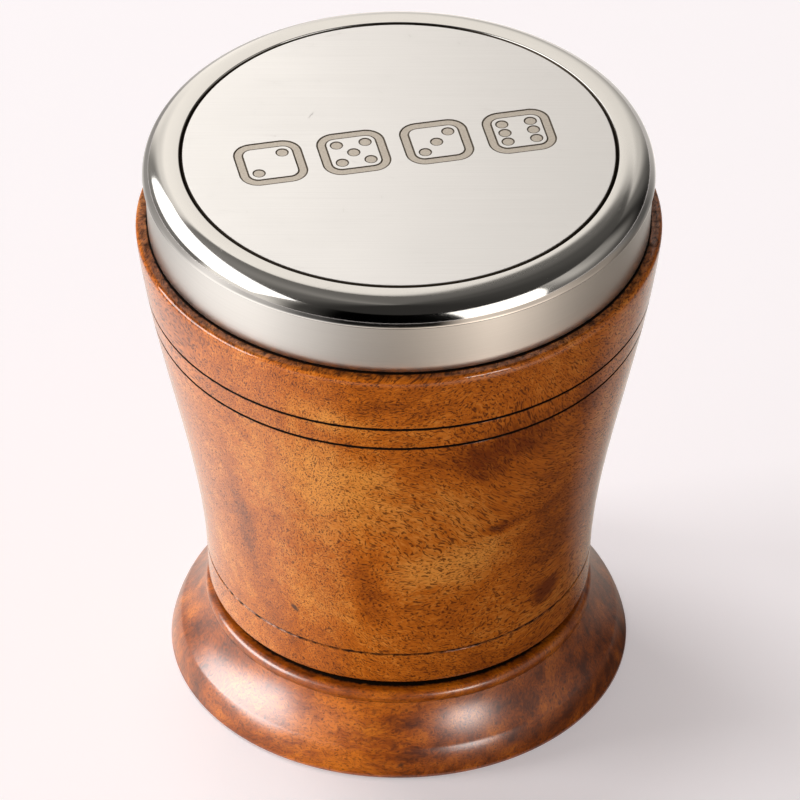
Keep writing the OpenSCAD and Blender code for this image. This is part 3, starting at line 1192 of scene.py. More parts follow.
FOOT_WOOD = WoodFinish(
    "foot_wood", light=(0.50, 0.128, 0.005), middle=(0.28, 0.057, 0.002), dark=(0.09, 0.016, 0.0012),
    pore=(0.05, 0.011, 0.0012), grain=(0.9, -0.35, 0.2), swirl=7.0, fleck_length=0.6, fleck_width=0.27,
    fleck_strength=0.5, figure_scale=0.09, mottle_share=0.9, roughness=0.4, coat=1.0, coat_roughness=0.29,
    coat_ior=1.75, specular=0.08, knots=(Spot((0.3, -37.6, 2.7), (1.0, 0.0, 0.2), 0.9, 0.5),),
    pale=(Patch((-11.0, -35.9, 3.0), (0.95, -0.3, 0.0), 15.0, 5.5, strength=0.33),
          Patch((-6.0, -33.5, 9.0), (1.0, 0.0, 0.0), 7.0, 4.0, strength=0.35)),
    # The first deep place is painted shade on the shaded right side of the foot
    deep=(Patch((33.0, -16.0, 7.0), (0.4, 0.8, -0.4), 15.0, 10.0, strength=0.5),
          Patch((1.5, -34.0, 9.0), (1.0, 0.0, 0.0), 9.0, 5.0, strength=0.4)))

POLISHED = MetalFinish("polished_metal", (0.80, 0.775, 0.735), 0.085, Brushing.BUFFED, 0.0004,
                       cloudiness=0.04, streaks=0.03, scratches=0.15)
SATIN = MetalFinish("satin_metal", (0.78, 0.755, 0.715), 0.34, Brushing.ROUND, 0.004, streaks=0.08)
BRUSHED = MetalFinish("brushed_metal", (0.89, 0.868, 0.845), 0.34, Brushing.STRAIGHT, 0.003,
                      cloudiness=0.05, streaks=0.12, scratches=0.5)
ETCHED = MetalFinish("etched_floor", (0.68, 0.61, 0.525), 0.42, Brushing.ETCHED, 0.01, streaks=0.35,
                     metallic=0.9)
# Dark walls of the engraving: oxide, and painted shade on the steep walls
ETCHED_WALL_OXIDE_AND_SHADE = MetalFinish("etched_wall_oxide_and_shade", (0.10, 0.075, 0.05), 0.5, Brushing.ETCHED, 0.01, streaks=0.05,
                          metallic=0.6)
FELT = ClothFinish("felt", (0.022, 0.085, 0.042), (0.06, 0.16, 0.085))
BAIZE = ClothFinish("baize", (0.018, 0.07, 0.032), (0.045, 0.13, 0.06), fine=2.6)
BONE = DieFinish("die", (0.80, 0.72, 0.56), (0.70, 0.57, 0.38), 0.3)
INK = DieFinish("die_pip", (0.012, 0.011, 0.01), (0.03, 0.028, 0.025), 0.35, coat=0.2)


# Sub-assemblies


@dataclass
class Foot:
    """The separately turned foot, with the baize under it.

    A place is a radius and a height. The field of the shelf's painted shade holds distances inwards from the
    bead, each with the shade there, which darkens the shelf in the gap under the cup.
    """

    radius: float = 38.0
    height: float = 13.3
    chamfer: float = 0.5
    chamfer_swell: tuple[float, float] = (0.12, 0.55)
    edge_height: float = 4.9
    edge_in: float = 1.7
    bead: tuple[float, float] = (30.85, 12.05)
    bead_radius: float = 1.25
    bead_end: float = -35.0
    bead_skip: float = 8.0
    join_shade: float = 0.5
    slope_sag: float = 0.45
    socket: tuple[float, float] = (18.1, 5.2)
    recess: tuple[float, float] = (33.2, 1.1)
    recess_break: float = 0.15
    shade_in: Stops = ((0.5, 0.3), (1.1, 0.8), (1.8, 1.0))
    baize_radius: float = 33.0
    baize_low: float = 0.3

    def outline(self) -> Outline:
        """Draws the wood, from the ceiling of the recess to the floor of the socket.

        Returns:
            The outline.
        """
        recess_r, recess_z = self.recess
        bead_r, bead_z = self.bead
        soft_edge = (self.radius - self.edge_in, self.edge_height)
        end = math.radians(self.bead_end)
        top = (bead_r + self.bead_radius * math.cos(end), bead_z + self.bead_radius * math.sin(end))
        middle = ((top[0] + soft_edge[0]) / 2 - 2 * self.slope_sag, (top[1] + soft_edge[1]) / 2)
        inwards, share = self.chamfer_swell
        line = Outline().to(0, recess_z).to(recess_r, recess_z)
        line.to(recess_r, self.recess_break).to(recess_r + self.recess_break, 0)
        line.line(self.radius - self.chamfer, 0, steps=4)
        line.to(self.radius - inwards, self.chamfer * share).to(self.radius, self.chamfer)
        line.bend((self.radius - self.edge_in / 3, self.edge_height * 2 / 3), soft_edge, steps=18)
        line.bend(middle, top, steps=30)
        # Painted shade in the crease where the slope meets the bead
        line.points[-1] = (*top, self.join_shade)
        line.arc(self.bead, self.bead_radius, self.bead_end + self.bead_skip, 90, steps=20)
        # Painted shade on the shelf, darker inwards into the gap under the cup and in the socket
        for inwards, shade_level in self.shade_in:
            line.to(bead_r - inwards, self.height, shade_level)
        line.to(self.socket[0], self.height, 1.0)
        return line.to(*self.socket).to(0, self.socket[1])

    def build(self, turner: TurnedTree, wood: bpy.types.Material, baize: bpy.types.Material) -> None:
        """Makes the foot and its baize.

        Args:
            turner: The tree that turns outlines.
            wood: The foot's wood.
            baize: The cloth.
        """
        foot = turner.turn("foot_turning", self.outline(), wood)
        settle(foot, Body.BOX.value, "foot")
        cloth = Cloth("base_baize_cloth", self.baize_radius, self.baize_low, self.recess[1])
        cloth.build(turner, baize, Body.BOX, Slot.BAIZE, "base_baize", "foot_turning", seed=3.0)


@dataclass
class Cup:
    """The turned cup, with its well, its neck and the felt on its floor.

    A place is a radius and a height. The field line_shape gives a scribed line: the share of its half width,
    the share of its depth and how burnt it is there. The painted shade of the shoulder goes with distances
    from the neck.
    """

    WELL_STEPS = 40

    seat: float = 13.3
    shoulder: float = 86.8
    waist: float = 31.7
    rim: float = 42.5
    side_low: float = 16.4
    side_high: float = 85.6
    lean: float = 0.7
    chord: float = 1.1
    hem_radius: float = 1.6
    hem_flat: float = 0.3
    hem_shade: float = 0.7
    quirk_radius: float = 28.6
    lip_radius: float = 0.7
    lip_flat: float = 0.2
    lip_shade: tuple[float, float] = (0.36, 0.42)
    shoulder_shade: Stops = ((1.0, 0.48), (0.8, 0.95), (0.0, 1.0))
    neck: tuple[float, float] = (39.85, 96.0)
    neck_shade: tuple[float, float] = (0.5, 0.4)
    bore: float = 36.65
    bore_end: float = 3.0
    mouth: float = 80.8
    wall: float = 5.0
    well_floor: float = 20.0
    well_round: float = 3.0
    tenon: tuple[float, float] = (18.0, 5.3)
    lines: tuple[float, ...] = (21.5, 71.4, 75.9)
    line_burns: tuple[float, ...] = (0.6, 1.0, 1.0)
    line_half: float = 0.275
    line_margin: float = 0.12
    line_depth: float = 0.4
    line_shape: tuple[Point, ...] = (
        (-1.0, 0.0, 0.5), (-0.75, 0.12, 0.85), (-0.12, 1.0, 1.0), (0.12, 1.0, 1.0), (0.75, 0.12, 0.85),
        (1.0, 0.0, 0.5))
    edge_break: float = 0.5
    felt_radius: float = 23.46
    felt_top: float = 21.0

    def side(self, z: float) -> float:
        """Works out the radius of the side at a height: an ogee from the waist to the lip.

        Args:
            z: The height.

        Returns:
            The radius.
        """
        u = min(max((z - self.side_low) / (self.side_high - self.side_low), 0.0), 1.0)
        ogee = 3 * u * u - 2 * u ** 3 - self.lean * u * u * (1 - u)
        return self.waist + (self.rim - self.waist) * ogee

    def rise(self, line: Outline, low: float, high: float) -> None:
        """Adds the side between two heights to an outline, in chords of about the same length.

        Args:
            line: The outline, which ends at the lower height.
            low: The lower height.
            high: The upper height.
        """
        steps = max(3, round((high - low) / self.chord))
        for i in range(1, steps + 1):
            z = low + (high - low) * i / steps
            line.to(self.side(z), z)

    def outside(self, line: Outline) -> None:
        """Adds the side with its scribed lines to an outline, from the hem up to under the lip.

        Args:
            line: The outline.
        """
        low = self.side_low
        for mark, share in zip(self.lines, self.line_burns):
            self.rise(line, low, mark - self.line_half - self.line_margin)
            for off, sunk, darkening in self.line_shape:
                z = mark + off * self.line_half
                line.to(self.side(z) - sunk * share * self.line_depth, z, share * darkening)
            low = mark + self.line_half + self.line_margin
            line.to(self.side(low), low)
        self.rise(line, low, self.shoulder - self.lip_radius)
        line.points.pop()  # The lip's arc starts there

    def outline(self) -> Outline:
        """Draws the wood, from the underside of the tenon to the floor of the well.

        Returns:
            The outline.
        """
        tenon_r, tenon_z = self.tenon
        neck_r, neck_z = self.neck
        edge = self.edge_break
        line = Outline().to(0, tenon_z).to(tenon_r - edge, tenon_z).to(tenon_r, tenon_z + edge)
        # Painted shade on the underside of the cup, in the quirk over the foot and under the hem
        line.to(tenon_r, self.seat).to(self.quirk_radius, self.seat, 1.0)
        hem_r, hem_z = self.waist - self.hem_radius, self.side_low - self.hem_radius
        line.to(self.quirk_radius, hem_z, 1.0).to(hem_r - self.hem_flat, hem_z, self.hem_shade)
        line.arc((hem_r, self.side_low), self.hem_radius, -90, 0)
        self.outside(line)
        turn = (self.rim - self.lip_radius, self.shoulder - self.lip_radius)
        # Painted shade on the top of the lip, on the shoulder and at the foot of the neck, darker towards the
        # band that covers them
        edge_shade, top_shade = self.lip_shade
        line.arc(turn, self.lip_radius, 0, 42, steps=7)
        line.arc(turn, self.lip_radius, 54, 90, steps=5, marks_and_shade=edge_shade)
        line.to(turn[0] - self.lip_flat, self.shoulder, top_shade)
        for outwards, shade_level in self.shoulder_shade:
            line.to(neck_r + outwards, self.shoulder, shade_level)
        up, shade_level = self.neck_shade
        line.to(neck_r, self.shoulder + up, shade_level).line(neck_r, neck_z - edge, steps=6)
        line.arc((neck_r - edge, neck_z - edge), edge, 12, 90, steps=6).to(self.bore + edge, neck_z)
        line.arc((self.bore + edge, neck_z - edge), edge, 102, 180, steps=6)
        line.line(self.bore, self.mouth + self.bore_end, steps=8)
        round_z = self.well_floor + self.well_round
        for i in range(self.WELL_STEPS + 1):
            z = self.mouth + (round_z - self.mouth) * i / self.WELL_STEPS
            line.to(min(self.side(z) - self.wall, self.bore), z)
        centre = (self.side(round_z) - self.wall - self.well_round, round_z)
        line.arc(centre, self.well_round, -6, -90, steps=12)
        return line.line(0, self.well_floor, steps=6)

    def build(self, turner: TurnedTree, wood: bpy.types.Material, felt: bpy.types.Material) -> None:
        """Makes the cup and its felt.

        Args:
            turner: The tree that turns outlines.
            wood: The cup's wood.
            felt: The cloth.
        """
        cup = turner.turn("cup_turning", self.outline(), wood)
        settle(cup, Body.BOX.value, "cup_body")
        cloth = Cloth("floor_felt_cloth", self.felt_radius, self.well_floor, self.felt_top)
        cloth.build(turner, felt, Body.BOX, Slot.FELT, "floor_felt", "cup_turning", seed=5.0)


@dataclass
class Cloth:
    """A round of felt or baize with a soft cut edge and a nap."""

    name: str
    radius: float
    low: float
    high: float
    edge: float = 0.28
    nap: float = 0.14
    rings: int = 26

    def build(self, turner: TurnedTree, finish: bpy.types.Material, body: Body, slot: Slot, node: str,
              rests_on: str, seed: float) -> None:
        """Args:
            turner: The tree that turns outlines.
            finish: The cloth's material.
            body: The body that it rides on.
            slot: The record's material slot; not used.
            node: The CAD node that it replaces.
            rests_on: The piece that it lies on; not used.
            seed: Seed of the nap.
        """
        edge, swing = self.edge, self.nap / 2
        low, high = self.low + swing, self.high - swing
        flat = self.radius - swing - edge
        line = Outline().to(0, low).line(flat, low, self.rings)
        line.arc((flat, low + edge), edge, -75, 0, steps=4).arc((flat, high - edge), edge, 0, 75, steps=4)
        line.to(flat, high).line(0, high, self.rings)
        piece = turner.turn(self.name, line, finish, segments=160, nap=self.nap, seed=seed)
        settle(piece, body.value, node)


@dataclass(frozen=True)
class Metals:
    """The materials of the lid's metal pieces."""

    satin: bpy.types.Material
    polished: bpy.types.Material
    brushed: bpy.types.Material
    etched: bpy.types.Material
    etched_wall_oxide_and_shade: bpy.types.Material


@dataclass
class Lid:
    """The metal lid: satin band, polished cap, engraved disc and felt liner.

    The recess is a radius and a height, and the liner a radius and two heights. The bevel and the groove's
    wall are rows of a step sideways, a step down and how dark the metal is there, with oxide and painted
    shade in the groove.
    """

    DOME_STEPS = 8

    band_radius: float = 40.9
    band_taper: float = 0.35
    band_inner: float = 40.0
    band_low: float = 87.0
    band_high: float = 96.2
    band_edge: float = 0.22
    cap_radius: float = 41.3
    cap_edge: float = 0.1
    cap_draft: float = 0.02
    cap_shade: Point = (0.6, 0.5, 0.1)
    cap_round: tuple[float, float] = (4.115, 3.736)
    cap_dome: float = 0.075
    cap_rim: float = 0.2
    cap_rim_round: float = 0.16
    top: float = 100.0
    plate: float = 97.6
    recess: tuple[float, float] = (35.05, 98.8)
    disc_radius: float = 35.0
    disc_bevel: tuple[Point, ...] = (
        (0.0, 0.35, 1.0), (0.12, 0.16, 1.0), (0.2, 0.06, 0.9), (0.27, 0.015, 0.3), (0.34, 0.0, 0.0))
    groove: float = 0.25
    groove_wall: tuple[Point, ...] = ((0.1, 0.3, 1.0), (0.0, 0.4, 1.0))
    liner: tuple[float, float, float] = (39.0, 96.3, 97.6)
    tile: float = 11.2
    tile_gap: float = 2.4
    tile_rounding: float = 2.3
    stroke_top: float = 1.65
    stroke_floor: float = 1.1
    pip_top: float = 1.08
    pip_floor: float = 0.85
    pip_step: float = 2.35
    depth: float = 0.07
    row_centre: tuple[float, float] = (-0.6, 1.5)
    row_turn: float = 12.0
    faces: tuple[int, ...] = (2, 5, 3, 6)
    clean_margin: float = 1.0

    def band_outline(self) -> Outline:
        """Draws the band, with a softened lower edge.

        Returns:
            The closed outline.
        """
        edge, low, inner = self.band_edge, self.band_low, self.band_inner
        flat = self.band_radius - self.band_taper - edge
        line = Outline().to(inner, low + edge).to(inner + edge, low).line(flat, low, steps=2)
        line.arc((flat, low + edge), edge, -80, 0, steps=6)
        line.line(self.band_radius, self.band_high, steps=10).to(inner, self.band_high)
        return line.to(inner, low + edge)

    def cap_outline(self) -> Outline:
        """Draws the cap, with its rounded edge, its domed rim and the recess for the disc.

        Returns:
            The outline.
        """
        ease, low, recess_r = self.cap_edge, self.band_high, self.recess[0]
        # Painted shade in the crease under the cap's overhang, over the band
        inner_shade, edge_shade, side_shade = self.cap_shade
        line = Outline().to(0, self.plate).to(self.band_inner, self.plate).to(self.band_inner, low)
        line.to(self.band_radius, low, inner_shade).to(self.cap_radius - ease, low, edge_shade)
        line.to(self.cap_radius - self.cap_draft, low + ease, side_shade)
        wide, tall = self.cap_round
        line.arc((self.cap_radius - wide, low), wide, 3, 85.6, steps=44, flatten=tall / wide)
        rim, edge = line.points[-1][0], recess_r + self.groove + self.cap_rim
        for i in range(1, self.DOME_STEPS + 1):
            share = 1 - i / self.DOME_STEPS
            line.to(edge + (rim - edge) * share, self.top - self.cap_dome * share * share)
        line.arc((edge, self.top - self.cap_rim_round), self.cap_rim_round, 92, 150, steps=5)
        # Oxide and painted shade in the groove round the disc
        line.to(recess_r + self.groove, self.top - self.cap_rim_round, 0.9)
        for outwards, down, shade_level in self.groove_wall:
            line.to(recess_r + outwards, self.top - down, shade_level)
        return line.to(*self.recess, 1.0).to(0, self.recess[1])

    def disc_outline(self) -> Outline:
        """Draws the disc before it is engraved.

        Returns:
            The outline.
        """
        radius, low = self.disc_radius, self.recess[1]
        line = Outline().to(0, low).to(radius, low)
        # Oxide and painted shade on the disc's bevel, in the groove
        for inwards, down, shade_level in self.disc_bevel:
            line.to(radius - inwards, self.top - down, shade_level)
        return line.to(0, self.top)

    def engrave(self, disc: bpy.types.Object, tree: EngravingTree, floor: bpy.types.Material,
                wall: bpy.types.Material) -> None:
        """Cuts the row of die faces into the disc.

        Args:
            disc: The plain disc.
            tree: The tree that sets out the cutters.
            floor: Finish of the etched floor.
            wall: Finish of the etched walls, dark with oxide and painted shade.
        """
        places: list[Point] = []
        framed: list[bool] = []
        step = self.tile + self.tile_gap
        for i, count in enumerate(self.faces):
            x = (i - (len(self.faces) - 1) / 2) * step
            places.append((x * MM, 0.0, 0.0))
            framed.append(True)
            for a, b in pip_steps(count):
                places.append(((x + a * self.pip_step) * MM, b * self.pip_step * MM, 0.0))
                framed.append(False)
        points = point_mesh("engraving_places", places)
        points.attributes.new("framed", "BOOLEAN", "POINT").data.foreach_set("value", framed)
        cutters = grow("engraving_cutters", points, tree.tree, {
            "Frame Width": (self.tile - self.stroke_top) * MM, "Frame Rounding": self.tile_rounding * MM,
            "Stroke Top": self.stroke_top * MM, "Stroke Floor": self.stroke_floor * MM,
            "Depth": self.depth * MM, "Pip Top": self.pip_top * MM, "Pip Floor": self.pip_floor * MM,
            "Height": self.top * MM, "Centre": (self.row_centre[0] * MM, self.row_centre[1] * MM, 0.0),
            "Turn": math.radians(self.row_turn), "Floor Finish": floor, "Wall Finish": wall})
        face_outwards(cutters.data)
        cut(disc, cutters)
        # Keeps the groove's oxide and painted shade off the middle of the disc
        marks = disc.data.attributes["marks_and_shade"].data
        for vertex, mark in zip(disc.data.vertices, marks):
            if vertex.co.xy.length < (self.disc_radius - self.clean_margin) * MM:
                mark.value = 0.0

    def build(self, turner: TurnedTree, tree: EngravingTree, metals: Metals,
              felt: bpy.types.Material) -> list[bpy.types.Object]:
        """Makes the pieces of the lid.

        Args:
            turner: The tree that turns outlines.
            tree: The tree that sets out the engraving.
            metals: Materials of the metal pieces.
            felt: The liner's cloth.

        Returns:
            The metal pieces, with the disc at the end.
        """
        lid = Body.LID.value
        band = turner.turn("lid_band_ring", self.band_outline(), metals.satin)
        cap = turner.turn("lid_cap_dome", self.cap_outline(), metals.polished, segments=320)
        disc = turner.turn("lid_disc_engraved", self.disc_outline(), metals.brushed)
        self.engrave(disc, tree, metals.etched, metals.etched_wall_oxide_and_shade)
        settle(band, lid, "lid_band")
        settle(cap, lid, "lid_cap")
        settle(disc, lid, "lid_disc")
        radius, low, high = self.liner
        cloth = Cloth("lid_liner_cloth", radius, low, high)
        cloth.build(turner, felt, Body.LID, Slot.FELT, "lid_liner", "lid_cap_dome", seed=7.0)
        return [band, cap, disc]


def pip_steps(count: int) -> list[tuple[float, float]]:
    """Gives the places of the pips on a face.

    Args:
        count: Number of pips, from 1 to 6.

    Returns:
        Steps from the middle of the face.
    """
    steps = [(0.0, 0.0)] if count % 2 else []
    if count >= 2:
        steps += [(1.0, 1.0), (-1.0, -1.0)]
    if count >= 4:
        steps += [(1.0, -1.0), (-1.0, 1.0)]
    if count == 6:
        steps += [(1.0, 0.0), (-1.0, 0.0)]
    return steps


def cut(piece: bpy.types.Object, cutters: bpy.types.Object) -> None:
    """Cuts one object out of another, keeping the cutters' materials on the new faces.

    Args:
        piece: The object that is cut.
        cutters: The closed cutters, which are removed.
    """
    work = bmesh.new()
    work.from_mesh(piece.data)
    bmesh.ops.dissolve_limit(work, angle_limit=FLAT_UNDER, verts=work.verts, edges=work.edges)
    work.to_mesh(piece.data)
    work.free()
    modifier = piece.modifiers.new("Engrave", "BOOLEAN")
    modifier.operation = "DIFFERENCE"
    modifier.solver = "EXACT"
    modifier.material_mode = "TRANSFER"
    modifier.object = cutters
    depsgraph = bpy.context.evaluated_depsgraph_get()
    mesh = bpy.data.meshes.new_from_object(piece.evaluated_get(depsgraph))
    piece.modifiers.remove(modifier)
    mesh.set_sharp_from_angle(angle=ENGRAVED_SHARP)
    piece.data = mesh
    bpy.data.objects.remove(cutters)


@dataclass
class DieSet:
    """The five loose dice on the felt."""

    SIDES = (("X", 0, 1), ("X", 180, 6), ("X", 90, 2), ("X", -90, 5), ("Y", 90, 3), ("Y", -90, 4))

    width: float = 14.0
    ball: float = 10.5
    pip_step: float = 3.6
    pip_radius: float = 1.2
    pip_depth: float = 0.6
    ring: float = 15.853
    height: float = 28.2
    twists: tuple[float, ...] = (10, -22, 34, -8, 24)
    turns: tuple[tuple[float, float], ...] = ((0, 0), (90, 0), (0, 90), (180, 0), (0, -90))

    def pip_mesh(self) -> bpy.types.Mesh:
        """Makes the points of all 21 pips, each with the way its face looks.

        Returns:
            The mesh of points, in metres.
        """
        places, outs = [], []
        for axis, angle, count in self.SIDES:
            turn = Matrix.Rotation(math.radians(angle), 3, axis)
            for a, b in pip_steps(count):
                spot = Vector((a * self.pip_step, b * self.pip_step, self.width / 2)) * MM
                places.append(tuple(turn @ spot))
                outs.extend(turn @ UP)
        mesh = point_mesh("die_pips", places)
        mesh.attributes.new("out", "FLOAT_VECTOR", "POINT").data.foreach_set("vector", outs)
        return mesh

    def place(self, i: int) -> Matrix:
        """Gives the place of one die.

        Args:
            i: Its number, from 0.

        Returns:
            The matrix from the die's own middle to its place in the well.
        """
        rx, ry = self.turns[i]
        round_well = Matrix.Rotation(math.tau * i / len(self.turns), 4, "Z")
        out = Matrix.Translation(Vector((self.ring, 0, self.height)) * MM)
        twist = Matrix.Rotation(math.radians(self.twists[i]), 4, "Z")
        tip = Matrix.Rotation(math.radians(ry), 4, "Y") @ Matrix.Rotation(math.radians(rx), 4, "X")
        return round_well @ out @ twist @ tip

    def build(self, tree: DieTree, bone: bpy.types.Material, ink: bpy.types.Material) -> None:
        """Makes the dice.

        Args:
            tree: The tree that makes a die.
            bone: Their body.
            ink: Their pips.
        """
        sizes = {"Width": self.width * MM, "Ball": self.ball * MM, "Pip Radius": self.pip_radius * MM,
                 "Pip Depth": self.pip_depth * MM, "Body Finish": bone, "Pip Finish": ink}
        for i in range(len(self.turns)):
            name = f"die_{i + 1}"
            die = grow(f"{name}_bone", self.pip_mesh(), tree.tree, sizes)
            die.data.transform(self.place(i))
            settle(die, name, name)


# Studio


class Lit(Enum):
    """What a lamp lights."""

    FLOOR = "floor"
    METAL = "metal"
    RIM = "rim"
    DISC = "disc"
    THE_REST = "the_rest"


@dataclass(frozen=True)
class Softbox:
    """A rectangular lamp: its place and size in metres, what it aims at, and how bright it looks.

    WATTS is the power of a square metre of lamp that looks as bright as 1.
    """

    WATTS = 4.0

    name: str
    place: Point
    aim: Point
    width: float
    height: float
    radiance: float
    colour: Colour = (1.0, 1.0, 1.0)
    lights: Lit = Lit.THE_REST
    mirrored: bool = True

    def build(self) -> bpy.types.Object:
        """Hangs the lamp.

        Returns:
            The lamp.
        """
        lamp = bpy.data.lights.new(self.name, "AREA")
        lamp.shape = "RECTANGLE"
        lamp.size, lamp.size_y = self.width, self.height
        lamp.energy = self.WATTS * self.width * self.height * self.radiance
        lamp.color = self.colour
        holder = bpy.data.objects.new(self.name, lamp)
        holder.location = self.place
        aim = Vector(self.aim) - Vector(self.place)
        holder.rotation_euler = aim.to_track_quat("-Z", "Y").to_euler()
        holder.visible_camera = False
        holder.visible_glossy = self.mirrored
        bpy.context.scene.collection.objects.link(holder)
        return holder


@dataclass
class Studio:
    """Camera, pale floor, surroundings and lamps.

    The Stops run round the object, in degrees from the front, towards the right.
    """

    distance: float = 1.5
    elevation: float = 38.5
    aim_height: float = 0.0492932
    focal_pixels: float = 9154.84
    centre_pixel: float = 398.94
    frame_pixels: float = 800.0
    sensor: float = 36.0
    clip: tuple[float, float] = (0.1, 100.0)
    floor_half: float = 12.0
    floor_glow: float = 0.4
    floor_matt: float = 0.78
    paper: Colour = (0.982, 0.93, 0.947)
    card_radius: float = 3.0
    card_sides: int = 48
    card_height: float = 0.0008
    card_near: Stops = (
        (-180, 0.82), (-150, 0.84), (-130, 0.98), (-100, 1.05), (-80, 1.1), (-60, 1.1), (-40, 0.5),
        (-15, 0.03), (85, 0.04), (110, 0.35), (140, 0.75), (180, 0.9))
    card_ring: Stops = (
        (-180, 1.3), (-150, 0.75), (-120, 0.42), (-102, 0.78), (-82, 1.32), (-62, 1.5), (-42, 1.2),
        (-22, 0.9), (0, 0.7), (20, 1.15), (38, 2.0), (52, 1.25), (75, 0.5), (105, 0.14), (130, 0.27),
        (155, 1.1), (180, 1.6))
    card_far: Stops = (
        (-180, 1.02), (-168, 0.65), (-155, 0.34), (-125, 0.33), (-100, 0.5), (-80, 1.0), (-60, 0.6),
        (-35, 0.1), (-20, 0.01), (14, 0.01), (30, 0.8), (60, 0.6), (85, 0.3), (120, 0.1), (150, 0.55),
        (180, 1.02))
    card_ring_start: tuple[float, float] = (0.122, 0.148)
    card_ring_end: tuple[float, float] = (0.17, 0.30)
    card_across: tuple[float, float] = (-0.13, 0.03)
    card_back: tuple[float, float] = (0.0, 0.15)
    card_tints: tuple[Colour, Colour, Colour] = ((1.0, 0.965, 0.945), (1.0, 0.87, 0.76), (1.0, 0.96, 0.93))
    wall: Stops = (
        (-180, 0.97), (-171, 1.07), (-155, 0.8), (-142, 0.2), (-120, 0.15), (-92, 0.12), (-82, 0.75),
        (-58, 0.6), (-42, 0.05), (-25, 0.0), (20, 0.0), (60, 0.15), (80, 0.5), (104, 0.28), (125, 0.04),
        (140, 0.15), (155, 0.6), (171, 0.86), (180, 0.96))
    wall_foot: Stops = (
        (-180, 0.75), (-168, 1.12), (-140, 1.3), (-90, 1.4), (45, 1.3), (78, 0.35), (115, 0.25),
        (150, 0.7), (174, 0.6), (180, 0.75))
    wall_top: Stops = (
        (-180, 0.72), (-150, 0.70), (-90, 0.70), (90, 0.66), (173, 0.615), (177.6, 0.645), (178.8, 0.70),
        (180, 0.72))
    overhead: Stops = (
        (-180, 0.15), (-130, 0.24), (-70, 0.12), (-30, 0.03), (30, 0.03), (90, 0.05), (150, 0.08),
        (180, 0.15))
    wall_foot_fade: tuple[float, float] = (0.45, 0.08)
    wall_top_fade: tuple[float, float] = (-0.02, 0.02)
    wall_tint: Colour = (1.0, 0.96, 0.91)

    def camera(self) -> None:
        """Places the camera at the viewing angle of the object."""
        lens = bpy.data.cameras.new("camera")
        lens.sensor_width = self.sensor
        lens.lens = self.focal_pixels * self.sensor / self.frame_pixels
        lens.shift_x = (self.frame_pixels / 2 - self.centre_pixel) / self.frame_pixels
        lens.clip_start, lens.clip_end = self.clip
        rise = math.radians(self.elevation)
        holder = bpy.data.objects.new("camera", lens)
        height = self.aim_height + self.distance * math.sin(rise)
        holder.location = (0.0, -self.distance * math.cos(rise), height)
        holder.rotation_euler = (math.pi / 2 - rise, 0.0, 0.0)
        bpy.context.scene.collection.objects.link(holder)
        bpy.context.scene.camera = holder

    def seen(self, graph: Graph) -> Socket:
        """Tells camera, mirrored and refracted rays from light that falls on the object.

        Args:
            graph: The graph that gets the nodes.

        Returns:
            1 for the rays that see the floor, 0 for the others.
        """
        path = graph.add("ShaderNodeLightPath").outputs
        direct = graph.math("MAXIMUM", path["Is Camera Ray"], path["Is Glossy Ray"])
        return graph.math("MAXIMUM", direct, path["Is Transmission Ray"])

    def floor(self) -> None:
        """Lays the pale floor, which keeps the object's shadow."""
        far = self.floor_half
        mesh = bpy.data.meshes.new("floor")
        mesh.from_pydata([(-far, -far, 0), (far, -far, 0), (far, far, 0), (-far, far, 0)], [], [(0, 1, 2, 3)])
        material = bpy.data.materials.new("paper")
        graph = Graph.blank(material)
        matt_paper = tuple(c * self.floor_matt for c in self.paper)
        matt = graph.get("ShaderNodeBsdfDiffuse", {"Color": (*matt_paper, 1.0)})
        strength = graph.math("MULTIPLY", self.seen(graph), self.floor_glow)
        glow = graph.get("ShaderNodeEmission", {"Color": (*self.paper, 1.0), "Strength": strength})
        both = graph.get("ShaderNodeAddShader", {0: matt, 1: glow})
        graph.add("ShaderNodeOutputMaterial", {"Surface": both})
        mesh.materials.append(material)
        show("floor", mesh)

    def around(self, graph: Graph, x: Socket, y: Socket, stops: Stops) -> Socket:
        """Looks up a level by the compass direction.

        Args:
            graph: The graph that gets the nodes.
            x: How far to the right of the object.
            y: How far behind it.
            stops: Degrees from the front, towards the right, with the level there.

        Returns:
            The level.
        """
        angle = graph.math("ARCTAN2", x, graph.math("MULTIPLY", y, -1.0))
        share = graph.math("ADD", graph.math("DIVIDE", angle, math.tau), HALF)
        ramp = graph.add("ShaderNodeValToRGB", {0: share})
        ramp.color_ramp.interpolation = "EASE"
        marks = ramp.color_ramp.elements
        while len(marks) < len(stops):
            marks.new(HALF)
        for mark, (degrees, _) in zip(marks, stops):
            mark.position = degrees / 360 + HALF
        for mark, (_, level) in zip(marks, stops):
            mark.color = (level, level, level, 1.0)
        return ramp.outputs[0]

